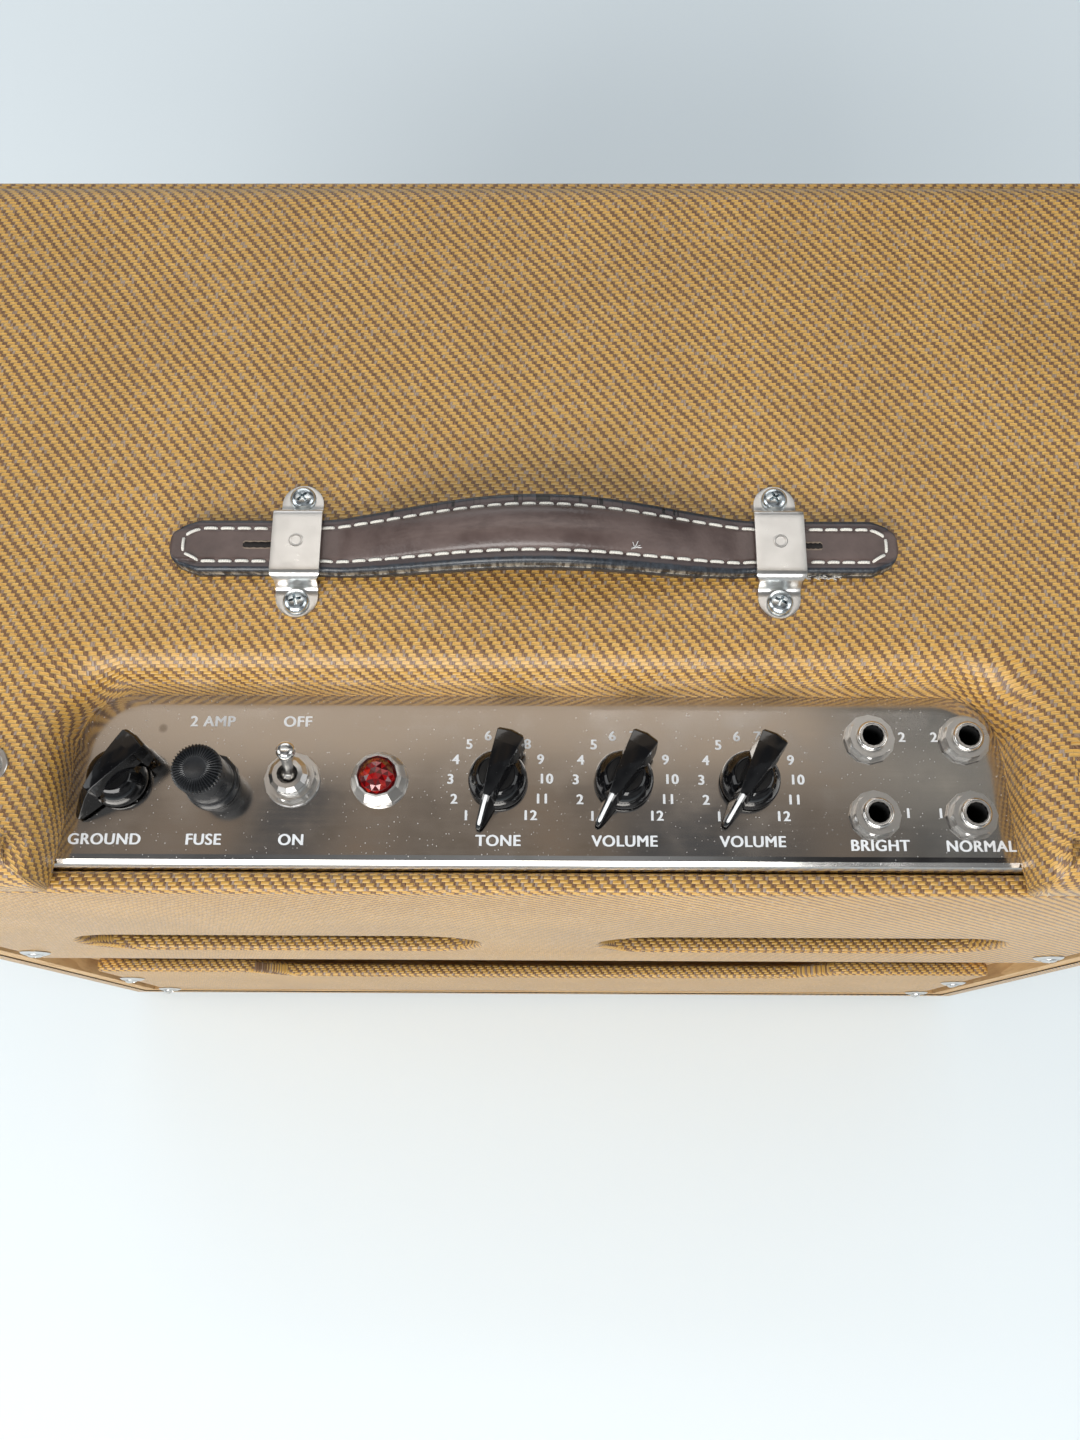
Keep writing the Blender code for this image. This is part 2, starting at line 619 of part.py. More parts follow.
def build_chassis_gear():
    wall = CHASSIS_FRONT - GAP
    low = (134 * MM, -6 * MM, PANEL_Z - 81 * MM)
    transformer("power_transformer", low, (211 * MM, wall, PANEL_Z - 16 * MM), (14 * MM, 30 * MM))
    low = (-110 * MM, 12 * MM, PANEL_Z - 62 * MM)
    transformer("output_transformer", low, (-60 * MM, wall, PANEL_Z - 20 * MM), (24 * MM, 38 * MM))

    inside = CHASSIS_FRONT + SHEET + GAP
    board_front = inside + 5.5 * MM
    low = (-130 * MM, board_front, PANEL_Z - 75 * MM)
    board = box_between("circuit_board", low, (110 * MM, board_front + 2 * MM, PANEL_Z - 22 * MM), "board_black")
    for k, x in enumerate((-120 * MM, 100 * MM)):
        for m, z in enumerate((PANEL_Z - 68 * MM, PANEL_Z - 29 * MM)):
            half = 3 * MM
            low = (x - half, inside, z - half)
            high = (x + half, board_front + 1 * MM, z + half)
            boolean(board, box_between("board_post_" + str(2 * k + m), low, high), "UNION")

    floor = PANEL_Z - CHASSIS_TALL
    ring = [(4.2, 4.2), (8.8, 4.2), (8.8, 1.8), (6, 1.8), (6, -0.3), (8.8, -0.3), (8.8, -2.7), (4.2, -2.7)]
    turned("cord_grommet", ring, "rubber", (*GROMMET_PLACE, floor), closed=True)


# ---------------------------------------------------------------- loudspeaker


def build_speaker():
    front = BAFFLE_REAR + GAP
    where = (0, front, SPEAKER_Z)
    frame = [(22, 68), (61, 68), (63, 66), (134.6, 16.4), (134.6, 1.6), (153, 1.6), (153, 0), (133, 0)]
    frame += [(133, 16), (61.8, 64.8), (60, 66.4), (22, 66.4)]
    basket = turned("speaker_basket", frame, "steel", where, AXIS_Y, closed=True, steps=32)
    for k in range(3):
        window = box("basket_window_" + str(k), (56 * MM, 36 * MM, 300 * MM), (0, front + 39 * MM, SPEAKER_Z))
        window.rotation_euler = (0, math.radians(30 + 60 * k), 0)
        boolean(basket, window, "DIFFERENCE")
    magnet = [(0, 108), (34, 108), (41, 103), (43, 95), (43, 76), (52, 76), (52, 68.3), (21, 68.3)]
    magnet += [(21, 80), (17, 80), (17, 68.3), (0, 68.3)]
    turned("speaker_magnet", magnet, "steel", where, AXIS_Y, steps=20)
    cone = [(0, 34), (18.2, 44), (18.2, 77), (19.8, 77), (19.8, 46), (124, 8.4), (130, 8.4), (130, 6)]
    cone += [(123, 6), (20, 43), (0, 31.5)]
    turned("speaker_cone", cone, "paper", where, AXIS_Y, steps=24)


def build_speaker_lead():
    """The lead from the chassis to the loudspeaker's terminals, hanging in one slack bend."""
    top = Vector((*LEAD_PLACE, PANEL_Z - 80 * MM))
    under = Vector((*LEAD_PLACE, PANEL_Z - 100 * MM))
    low = Vector((-128 * MM, 35 * MM, PANEL_Z - 143 * MM))
    terminal = Vector((-74.2 * MM, -50.6 * MM, SPEAKER_Z + 74.2 * MM))
    along = Vector((40 * MM, -60 * MM, 0))
    route = [top, under]
    route += interpolate_bezier(under, under - Vector((0, 0, 34 * MM)), low - along * 0.6, low, 9)[1:]
    route += interpolate_bezier(low, low + along * 0.6, terminal + Vector((0, 30 * MM, 0)), terminal, 9)[1:]
    curve = bpy.data.curves.new("speaker_lead", "CURVE")
    curve.dimensions = "3D"
    curve.bevel_depth = 2.75 * MM
    curve.bevel_resolution = 2
    curve.use_fill_caps = True
    curve.render_resolution_u = 0
    spline = curve.splines.new("POLY")
    spline.points.add(len(route) - 1)
    for point, place_at in zip(spline.points, route):
        point.co = (*place_at, 1)
    lead = bpy.data.objects.new("speaker_lead", curve)
    PARTS.objects.link(lead)
    finish(lead, "rubber")


# ---------------------------------------------------------------- handle


def strap_section(x):
    """Height of the underside, thickness and width of the strap at a place along it."""
    reach = abs(x)
    lift = math.cos(math.pi / 2 * min(reach / (60 * MM), 1)) ** 2
    swell = math.cos(math.pi / 2 * min(reach / (66 * MM), 1)) ** 2
    from_end = STRAP_HALF - reach
    nose = 8 * MM
    narrowing = max(0, 1 - from_end / nose) ** 2
    return STRAP_RISE * lift, STRAP_THICK + STRAP_MORE_THICK * swell, STRAP_WIDE * (1 - 0.62 * narrowing)


def build_handle():
    base = CAB_TOP + GAP
    bm = bmesh.new()
    rings = []
    inner = [-60 + 10 * k for k in range(13)]
    outer = [72, 90, 103, 106, 109, 111]
    for x in [-value for value in reversed(outer)] + inner + outer:
        underside, thick, wide = strap_section(x * MM)
        edge = 1.6 * MM
        half = wide / 2
        low = base + underside
        high = low + thick
        corners = [(-half + edge, low), (half - edge, low), (half, low + edge), (half, high - edge)]
        corners += [(half - edge, high), (-half + edge, high), (-half, high - edge), (-half, low + edge)]
        rings.append([bm.verts.new((x * MM, HANDLE_Y + y, z)) for y, z in corners])
    for near, far in zip(rings, rings[1:]):
        for k in range(8):
            after = (k + 1) % 8
            bm.faces.new((near[k], near[after], far[after], far[k]))
    bm.faces.new(list(reversed(rings[0])))
    bm.faces.new(rings[-1])
    place("handle_strap", mesh_from("handle_strap", bm), "leather")
    build_clamps(base)


def clamp_mask():
    """Plan outline of a clamp: a wider bridge with a round-ended tab at each side, along local Y."""
    tab_half = 6.35 * MM
    bridge_half = 7.4 * MM
    shoulder = 9.5 * MM
    end = 21.75 * MM
    rear_tab = [(bridge_half, shoulder), (tab_half, shoulder)]
    rear_tab += arc((0, end - tab_half), tab_half, 0, 180, 8)
    rear_tab += [(-tab_half, shoulder), (-bridge_half, shoulder)]
    front_tab = [(-x, -y) for x, y in rear_tab]
    return rear_tab + front_tab


def build_clamps(base):
    sheet = 1.2 * MM
    leg = 9.3 * MM
    under = STRAP_THICK + GAP
    tab_end = 23 * MM
    path = [(-tab_end, sheet), (-leg - sheet, sheet), (-leg - sheet, under + sheet - 1 * MM)]
    path += [(-leg, under + sheet), (leg, under + sheet)]
    path += [(leg + sheet, under + sheet - 1 * MM), (leg + sheet, sheet), (tab_end, sheet)]
    half = 9 * MM
    for side_name, x in (("left", -CLAMP_X), ("right", CLAMP_X)):
        name = "handle_clamp_" + side_name
        bm = bmesh.new()
        near, far = [[bm.verts.new((side, y, z)) for y, z in path] for side in (-half, half)]
        for k in range(len(path) - 1):
            bm.faces.new((near[k], far[k], far[k + 1], near[k + 1]))
        mesh = bpy.data.meshes.new(name)
        bm.to_mesh(mesh)
        bm.free()
        clamp = place(name, mesh, "nickel", (x, HANDLE_Y, base))
        strip = clamp.modifiers.new("strip", "SOLIDIFY")
        strip.thickness = sheet
        strip.offset = -1
        strip.use_even_offset = True
        mask = plate(name + "_mask", [clamp_mask()], 40 * MM, None, (x, HANDLE_Y, base))
        boolean(clamp, mask, "INTERSECT")
        holes = [(x, HANDLE_Y + y, base, 2.6 * MM, 10 * MM) for y in (-CLAMP_SCREW_Y, CLAMP_SCREW_Y)]
        drill(clamp, name + "_holes", holes)

    screw = [(0, 2.5), (2.2, 2.3), (3.6, 1.4), (4, 0), (2.2, 0), (2.2, -25.5), (0, -25.5)]
    head_z = base + sheet + GAP
    for side_name, x in (("left", -CLAMP_X), ("right", CLAMP_X)):
        for depth_name, y in (("front", -CLAMP_SCREW_Y), ("rear", CLAMP_SCREW_Y)):
            name = "handle_screw_" + side_name + "_" + depth_name
            turned(name, screw, "nickel", (x, HANDLE_Y + y, head_z), steps=12)


build_cabinet()
build_cleats()
build_front()
build_back_panels()
build_chassis()
build_pots_and_jacks()
build_fuse()
build_power_switch()
build_pilot_lamp()
build_knobs()
build_tubes()
build_chassis_gear()
build_speaker()
build_speaker_lead()
build_handle()
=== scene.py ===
"""Looks of the guitar combo amplifier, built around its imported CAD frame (metres, +Z up, grille to -Y)."""

import json
import math

import bmesh
import bpy
import numpy as np
from mathutils import Matrix, Vector


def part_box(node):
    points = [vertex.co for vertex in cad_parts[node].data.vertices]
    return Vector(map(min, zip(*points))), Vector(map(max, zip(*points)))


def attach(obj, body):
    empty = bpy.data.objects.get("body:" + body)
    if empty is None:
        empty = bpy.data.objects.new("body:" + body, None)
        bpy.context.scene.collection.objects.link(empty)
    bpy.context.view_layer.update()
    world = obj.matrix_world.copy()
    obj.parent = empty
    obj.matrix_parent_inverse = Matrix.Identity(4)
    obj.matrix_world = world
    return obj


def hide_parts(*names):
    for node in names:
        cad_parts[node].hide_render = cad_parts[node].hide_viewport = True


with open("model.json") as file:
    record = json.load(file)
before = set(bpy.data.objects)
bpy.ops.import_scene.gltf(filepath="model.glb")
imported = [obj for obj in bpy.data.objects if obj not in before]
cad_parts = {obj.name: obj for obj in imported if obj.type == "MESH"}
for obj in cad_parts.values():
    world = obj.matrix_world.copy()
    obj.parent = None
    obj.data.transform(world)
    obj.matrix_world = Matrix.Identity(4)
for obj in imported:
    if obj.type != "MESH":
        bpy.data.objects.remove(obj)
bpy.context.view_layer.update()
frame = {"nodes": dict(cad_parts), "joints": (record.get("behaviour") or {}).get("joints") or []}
nodes = frame["nodes"]
MM = 0.001
rng = np.random.default_rng(7)

# ---------------------------------------------------------------- places read from the CAD

PANEL_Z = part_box("chassis")[1].z
TOP_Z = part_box("cabinet_top")[1].z
HALF_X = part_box("cabinet_top")[1].x
REAR_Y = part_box("cabinet_side_right")[1].y
FRONT_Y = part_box("cabinet_side_right")[0].y
BOTTOM_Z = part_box("cabinet_bottom")[0].z
BOARD = TOP_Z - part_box("cabinet_top")[0].z
EDGE_R = 12 * MM
RECESS_FRONT = 58.9 * MM
RECESS_HALF = (141.5 * MM, 145.2 * MM)
RECESS_R = 17 * MM
SKIN = 0.5 * MM


def middle(node):
    low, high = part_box(node)
    return (low + high) / 2


JOINT_AT = {j["name"]: Vector(j["pos_m"]) for j in frame["joints"] if "pos_m" in j}

# ---------------------------------------------------------------- camera, light and stage

camera_data = bpy.data.cameras.new("camera")
camera_data.lens = 30
camera_data.sensor_width = 36
camera_data.shift_y = -5 / 1440
camera = bpy.data.objects.new("camera", camera_data)
bpy.context.scene.collection.objects.link(camera)
bpy.context.scene.camera = camera
CAMERA_AT = (-0.00363, 0.17579, 0.7521)
LOOK = Vector((0.0078539, -0.2975323, -0.9546794))
UP = Vector((0.0034905, -0.9546949, 0.2975659))
camera_turn = Matrix((LOOK.cross(UP), UP, -LOOK)).transposed()
camera.matrix_world = Matrix.Translation(CAMERA_AT) @ camera_turn.to_4x4()
camera_data.clip_start = 0.01
bpy.context.scene.view_settings.view_transform = "Standard"


def area_light(name, place, aim, size, power, colour=(1, 1, 1)):
    data = bpy.data.lights.new(name, "AREA")
    data.shape = "RECTANGLE"
    data.size, data.size_y = size
    data.energy = power
    data.color = colour
    lamp = bpy.data.objects.new(name, data)
    lamp.location = place
    lamp.rotation_mode = "QUATERNION"
    lamp.rotation_quaternion = (Vector(aim) - Vector(place)).to_track_quat("-Z", "Y")
    bpy.context.scene.collection.objects.link(lamp)


area_light("soft_rear", (0.35, 1.5, 1.35), (0, 0, 0.3), (1.6, 0.9), 34, (1.0, 0.99, 0.97))
area_light("soft_left", (2.0, 0.2, 1.5), (0, 0, 0.3), (1.2, 1.2), 9.5, (0.97, 0.99, 1.0))
area_light("soft_right", (-2.0, 0.3, 1.6), (0, 0, 0.3), (1.2, 1.2), 8.5, (0.97, 0.99, 1.0))
area_light("soft_front", (0.3, -2.0, 1.2), (0, 0, 0.3), (1.8, 0.8), 6)
area_light("soft_over", (0.0, -0.64, 1.95), (0, 0.02, 0.4), (1.5, 0.14), 1.6, (1.0, 0.98, 0.95))

world = bpy.data.worlds.new("studio")
bpy.context.scene.world = world
world.use_nodes = True
sky = world.node_tree.nodes["Background"].inputs
sky["Color"].default_value = (0.80, 0.87, 0.93, 1)
sky["Strength"].default_value = 0.56

# ---------------------------------------------------------------- shader writing


class Net:
    """A material's node tree, with short calls for the nodes used here."""

    def __init__(self, name, **values):
        self.material = bpy.data.materials.new(name)
        self.material.use_nodes = True
        self.tree = self.material.node_tree
        self.shader = self.tree.nodes["Principled BSDF"]
        for key, value in values.items():
            self.set(key, value)

    def set(self, key, value):
        socket = self.shader.inputs[key.replace("_", " ")]
        if isinstance(value, Wire):
            self.tree.links.new(value.socket, socket)
        else:
            socket.default_value = value if not isinstance(value, tuple) else (*value, 1)[:4]

    def node(self, kind, inputs=(), out=0, **settings):
        made = self.tree.nodes.new(kind)
        for key, value in settings.items():
            setattr(made, key, value)
        for key, value in dict(inputs).items():
            socket = made.inputs[key]
            if isinstance(value, Wire):
                self.tree.links.new(value.socket, socket)
            elif isinstance(value, tuple) and socket.type == "RGBA":
                socket.default_value = (*value, 1)
            else:
                socket.default_value = value
        return Wire(self, made.outputs[out])

    def math(self, operation, *values, clamp=False):
        return self.node("ShaderNodeMath", dict(enumerate(values)), operation=operation, use_clamp=clamp)

    def uv(self):
        return self.split(self.node("ShaderNodeUVMap", uv_map="cloth"))[:2]

    def place(self):
        return self.node("ShaderNodeTexCoord", out="Object")

    def split(self, vector):
        parts = self.node("ShaderNodeSeparateXYZ", {0: vector}).socket.node
        return [Wire(self, o) for o in parts.outputs]

    def join(self, x, y, z=0.0):
        return self.node("ShaderNodeCombineXYZ", {0: x, 1: y, 2: z})

    def noise(self, vector, scale, detail=2.0, rough=0.5):
        inputs = {"Vector": vector, "Scale": scale, "Detail": detail, "Roughness": rough}
        return self.node("ShaderNodeTexNoise", inputs, out="Fac")

    def spots(self, vector, scale, out="Distance"):
        return self.node("ShaderNodeTexVoronoi", {"Vector": vector, "Scale": scale}, out=out)

    def chance(self, vector):
        return self.node("ShaderNodeTexWhiteNoise", {0: vector}, out="Value", noise_dimensions="3D")

    def ramp(self, value, low, high, start=0.0, end=1.0):
        inputs = {"Value": value, "From Min": low, "From Max": high, "To Min": start, "To Max": end}
        return self.node("ShaderNodeMapRange", inputs, interpolation_type="SMOOTHSTEP")

    def mix(self, share, a, b, kind="MIX"):
        made = self.tree.nodes.new("ShaderNodeMix")
        made.data_type = "RGBA"
        made.blend_type = kind
        for socket, value in zip((made.inputs[0], made.inputs[6], made.inputs[7]), (share, a, b)):
            if isinstance(value, Wire):
                self.tree.links.new(value.socket, socket)
            else:
                socket.default_value = (*value, 1) if isinstance(value, tuple) else value
        return Wire(self, made.outputs[2])

    def multiply(self, a, b):
        return self.mix(1.0, a, b, "MULTIPLY")

    def speckle(self, scale, detail, light, dark):
        """Colours the surface by fine noise between two colours, and gives its material."""
        self.set("Base Color", self.mix(self.noise(self.place(), scale, detail), light, dark))
        return self.material

    def bump(self, height, strength, distance):
        inputs = {"Height": height, "Strength": strength, "Distance": distance}
        self.set("Normal", self.node("ShaderNodeBump", inputs))


class Wire:
    """One output of a node, which plain arithmetic turns into Math nodes."""

    def __init__(self, net, socket):
        self.net = net
        self.socket = socket

    def __add__(self, other):
        return self.net.math("ADD", self, other)

    def __sub__(self, other):
        return self.net.math("SUBTRACT", self, other)

    def __mul__(self, other):
        return self.net.math("MULTIPLY", self, other)

    def __truediv__(self, other):
        return self.net.math("DIVIDE", self, other)

    def floor(self):
        return self.net.math("FLOOR", self)

    def part(self):
        return self.net.math("FRACT", self)

    def abs(self):
        return self.net.math("ABSOLUTE", self)

    def power(self, exponent):
        return self.net.math("POWER", self, exponent)


def dome(net, value, sharp=2.0):
    """1 in the middle of a cell and 0 at its ends, for a value that goes from 0 to 1 across the cell."""
    across = (value * 2.0 - 1.0).abs().power(sharp)
    return net.math("SUBTRACT", 1.0, across, clamp=True).power(0.5)


# Twill: rows of weft 1.16 mm apart, each row's pattern 3.94 mm long and moved 0.985 mm from the last
ROW = 1.16
REPEAT = 3.94
FLOAT = 0.61


def tweed_material():
    net = Net("tweed", Coat_Weight=0.35, Coat_Roughness=0.28, Specular_IOR_Level=0.45)
    u, v = net.uv()
    flat = net.join(u, v)
    drift = net.noise(flat, 0.035, 1.0)
    drift_v = net.noise(net.join(v, u), 0.03, 1.0)
    weft = (v + drift_v * 1.4) / ROW
    row = weft.floor()
    across = weft.part()
    jitter = net.chance(net.join(row, 0.0, 3.0)) * 0.05
    along = (u + drift * 1.4 - row * (REPEAT / 4)) / REPEAT + jitter + across * 0.05
    cell = along.floor()
    step = along.part()
    pick = net.chance(net.join(row, cell, 1.0))
    length = pick * 0.07 + (FLOAT - 0.035)
    gold = net.ramp(step, 0.0, 0.03) * net.ramp(step - length, 0.0, 0.04, 1.0, 0.0)
    yarn_high = dome(net, across) * dome(net, step / length, 4.0)
    warp = (step - length) / 0.39 * 2.0
    warp_high = dome(net, warp.part())
    fibre = net.noise(net.join(u * 0.55 + across * 0.8, v * 6.0), 1.0, 2.0, 0.6)
    hair = net.noise(net.join(u * 7.0, v * 0.8), 1.0, 2.0, 0.6)
    tone = net.noise(flat, 0.02, 3.0)
    amber = net.mix(net.ramp(fibre, 0.32, 0.68), (0.400, 0.176, 0.016), (0.700, 0.440, 0.118))
    amber = net.mix(net.ramp(pick, 0.0, 1.0, 0.0, 0.30), amber, (0.64, 0.335, 0.045))
    # Painted highlight: cream along the lower edge of each gold float
    amber = net.mix(net.ramp(across, 0.55, 0.95, 0.0, 0.55), amber, (0.78, 0.56, 0.23))
    brown = net.mix(net.ramp(hair, 0.38, 0.66), (0.105, 0.046, 0.020), (0.300, 0.165, 0.075))
    # Painted glints: pale grey specks on random cells of the dark warp yarn
    warp_glint = net.ramp(net.chance(net.join(row, cell + warp.floor() * 0.37, 5.0)), 0.72, 0.95, 0.0, 0.45)
    brown = net.mix(warp_glint, brown, (0.52, 0.43, 0.36))
    colour = net.mix(gold, brown, amber)
    dark_yarn = gold * -1.0 + 1.0
    shade = net.ramp(yarn_high, 0.0, 0.75, 0.62, 1.0) * gold
    shade = shade + net.ramp(warp_high, 0.0, 0.6, 0.5, 1.0) * dark_yarn
    colour = net.multiply(colour, net.join(shade, shade, shade))
    patina = net.mix(net.ramp(tone, 0.35, 0.7), (0.93, 0.90, 0.86), (1.04, 1.02, 1.0))
    net.set("Base Color", net.multiply(colour, patina))
    net.set("Roughness", net.ramp(fibre, 0.2, 0.8, 0.36, 0.58))
    height = yarn_high * gold * 0.30 + warp_high * dark_yarn * 0.13 + fibre * 0.03
    net.bump(height, 0.9, 0.9 * MM)
    return net.material


def pine_material(name="pine", upright=False):
    net = Net(name, Roughness=0.62, Specular_IOR_Level=0.3)
    x, y, z = net.split(net.place())
    if upright:
        x, z = z, x
    stretched = net.join(x * 3.0, y * 22.0, z * 22.0)
    rings = net.noise(net.join(x * 0.6, y * 5.0, z * 5.0), 6.0, 3.0)
    band = (rings * 14.0).part()
    grain = net.noise(stretched, 40.0, 4.0, 0.65)
    colour = net.mix(net.ramp(band, 0.1, 0.95), (0.58, 0.385, 0.19), (0.47, 0.285, 0.125))
    colour = net.mix(net.ramp(grain, 0.45, 0.75, 0.0, 0.45), colour, (0.34, 0.19, 0.08))
    net.set("Base Color", colour)
    net.bump(grain, 0.3, 0.4 * MM)
    return net.material


# Middle of the dark smudge on the panel
SMUDGE = (0.1155, 0.0702)


def chrome_material():
    net = Net("chrome_panel", IOR=2.5)
    where = net.place()
    haze = net.noise(where, 34.0, 4.0, 0.6)
    x, y, z = net.split(where)
    rubbed = net.noise(net.join(x * 30.0, y * 900.0, z * 30.0), 1.0, 2.0)
    fine = net.spots(where, 900.0)
    coarse = net.spots(where, 240.0)
    size = net.chance(net.spots(where, 900.0, "Position"))
    speck = net.ramp(fine - net.ramp(size, 0.35, 1.0, -0.05, 0.155), 0.0, 0.04, 1.0, 0.0)
    size_two = net.chance(net.spots(where, 240.0, "Position"))
    speck_two = net.ramp(coarse - net.ramp(size_two, 0.80, 1.0, -0.05, 0.028), -0.004, 0.006, 1.0, 0.0)
    dust = net.math("MAXIMUM", speck * net.ramp(haze, 0.35, 0.72, 0.25, 0.65), speck_two * 0.55)
    away = ((x - SMUDGE[0]).power(2.0) + (y - SMUDGE[1]).power(2.0)).power(0.5)
    smudge = net.ramp(away + haze * MM, 1.1 * MM, 2.3 * MM, 0.6, 0.0)
    # Painted reflection: brownish blotches darken the panel's rear strip, standing in for the darker surroundings it
    # reflects there
    painted_dim_blotch = net.ramp(net.noise(net.join(x, y * 2.2, z), 46.0, 3.0, 0.6), 0.52, 0.72, 0.0, 0.40)
    painted_dim_band = net.ramp(y, 0.088, 0.108)
    metal = net.mix(painted_dim_blotch * painted_dim_band, (0.63, 0.61, 0.585), (0.46, 0.43, 0.37))
    metal = net.mix(smudge, metal, (0.25, 0.22, 0.19))
    colour = net.mix(dust * 0.75, metal, (0.80, 0.79, 0.77))
    net.set("Base Color", colour)
    net.set("Roughness", net.ramp(haze, 0.35, 0.75, 0.07, 0.17) + rubbed * 0.05 + dust * 0.5)
    net.set("Metallic", dust * -0.8 + 1.0)
    net.bump(net.noise(where, 9.0, 1.0) + dust * 0.004, 0.22, 6 * MM)
    return net.material


TWEED = tweed_material()
PINE = pine_material()
PINE_UP = pine_material("pine_upright", True)
CHROME = chrome_material()

# ---------------------------------------------------------------- mesh writing


def keep(obj, material, body, smooth=35):
    """Gives a new piece its material and body. smooth is the sharpest soft edge, in degrees."""
    obj.data.materials.clear()
    obj.data.materials.append(material)
    if smooth is not None:
        obj.data.shade_smooth()
        obj.data.set_sharp_from_angle(angle=math.radians(smooth))
    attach(obj, body)
    return obj


def object_of(name, data):
    obj = bpy.data.objects.new(name, data)
    bpy.context.scene.collection.objects.link(obj)
    return obj


def weld(data):
    """Joins the points that meet and turns the faces outwards."""
    bm = bmesh.new()
    bm.from_mesh(data)
    bmesh.ops.remove_doubles(bm, verts=bm.verts, dist=1e-6)
    bmesh.ops.recalc_face_normals(bm, faces=bm.faces)
    bm.to_mesh(data)
    bm.free()


def mesh_object(name, verts, faces, cloth=None):
    """A mesh from lists, joined where points meet. cloth is each point's place on the cloth, in mm."""
    data = bpy.data.meshes.new(name)
    data.from_pydata([tuple(v) for v in verts], [], faces)
    if cloth is not None:
        layer = data.uv_layers.new(name="cloth")
        for loop in data.loops:
            layer.data[loop.index].uv = cloth[loop.vertex_index]
    weld(data)
    return object_of(name, data)


def grid_faces(rows, columns, closed=False, skip=None):
    """Faces of a grid of points. skip(row, column) leaves a face out."""
    faces = []
    for i in range(rows - 1):
        for j in range(columns if closed else columns - 1):
            if skip and skip(i, j):
                continue
            here, there = i * columns, (i + 1) * columns
            k = (j + 1) % columns
            faces.append((here + j, here + k, there + k, there + j))
    return faces


def modifier(obj, kind, **settings):
    made = obj.modifiers.new(kind.lower(), kind)
    for key, value in settings.items():
        setattr(made, key, value)


def round_edges(obj, width, segments, angle):
    """Rounds the edges sharper than an angle in degrees. width is in mm."""
    limit = math.radians(angle)
    modifier(obj, "BEVEL", width=width * MM, segments=segments, limit_method="ANGLE", angle_limit=limit)


def thicken(obj, thick, offset=-1):
    modifier(obj, "SOLIDIFY", thickness=thick * MM, offset=offset)


def evaluated_mesh(obj):
    bpy.context.view_layer.update()
    return bpy.data.meshes.new_from_object(obj.evaluated_get(bpy.context.evaluated_depsgraph_get()))


# ---------------------------------------------------------------- cloth covering of the cabinet

R = EDGE_R + SKIN
DEEP = BOARD + 2 * SKIN
FOLD = 1.5 * MM
ARC = 9
HIGH = TOP_Z + SKIN
LOW = BOTTOM_Z - SKIN
WIDE = HALF_X + SKIN
BACK = REAR_Y + SKIN
FACE = FRONT_Y - SKIN
PATCH_X = 178 * MM
PATCH_Y = 28 * MM
TURN_IN = 28 * MM
HEM = 10 * MM
CORNER_R = 2 * MM
MIDDLE_Z = (HIGH + LOW) / 2
TINY = 1e-6


def quarter(steps):
    return [math.pi / 2 * k / steps for k in range(steps + 1)]


def edge_profile():
    """(y, depth, length) of the covering from its rear inner end over the outside to its front inner end."""
    rear = [(BACK - TURN_IN, DEEP)]
    rear += [(BACK - FOLD * (1 - math.sin(a)), DEEP - FOLD * (1 - math.cos(a))) for a in quarter(4)]
    rear += [(BACK - R * (1 - math.cos(a)), R * (1 - math.sin(a))) for a in quarter(ARC)]
    points = rear + [(PATCH_Y, 0)] + [(FACE + BACK - y, d) for y, d in reversed(rear)]
    lengths = [0.0]
    for near, far in zip(points, points[1:]):
        lengths.append(lengths[-1] - math.dist(near, far))
    flat = len(rear) - 1
    start = points[flat][0] - lengths[flat]
    return [(y, d, start + s) for (y, d), s in zip(points, lengths)]


def loop_points():
    """(x, z, normal x, normal z, length) round the outline from the bottom's middle. length = x on the top."""
    right = [(PATCH_X, HIGH, 0, 1)]
    for a in quarter(ARC):
        nx, nz = math.sin(a), math.cos(a)
        right.append((WIDE - R + R * nx, HIGH - R + R * nz, nx, nz))
    for a in quarter(ARC):
        nx, nz = math.cos(a), -math.sin(a)
        right.append((WIDE - R + R * nx, LOW + R + R * nz, nx, nz))
    right.append((0.0, LOW, 0, -1))
    lengths = [PATCH_X]
    for near, far in zip(right, right[1:]):
        lengths.append(lengths[-1] + math.dist(near[:2], far[:2]))
    right = [(*p, s) for p, s in zip(right, lengths)]
    return [(-x, z, -nx, nz, -s) for x, z, nx, nz, s in reversed(right)] + right


def cabinet_cover():
    """The cloth over the boards, left open on the top from the rear edge to the patch round the recess."""
    profile = edge_profile()
    loop = loop_points()
    verts, cloth = [], []
    for y, depth, t in profile:
        for x, z, nx, nz, s in loop:
            core_x = x if abs(nx) < 1e-9 else math.copysign(WIDE - R, x)
            core_z = HIGH - R if z > MIDDLE_Z else LOW + R
            reach = R - depth
            if reach >= 0:
                verts.append((core_x + nx * reach, y, core_z + nz * reach))
            else:
                inner_x = core_x + math.copysign(reach, x) if abs(core_x) > WIDE - R - TINY else core_x
                verts.append((inner_x, y, core_z + math.copysign(reach, z - MIDDLE_Z)))
            cloth.append((-s / MM, t / MM))
    columns = len(loop)
    rear_rows = next(i for i, p in enumerate(profile) if p[0] == PATCH_Y and p[1] == 0)
    top_span = columns // 2 - 1
    faces = grid_faces(len(profile), columns, skip=lambda i, j: j == top_span and i < rear_rows)
    return verts, faces, cloth


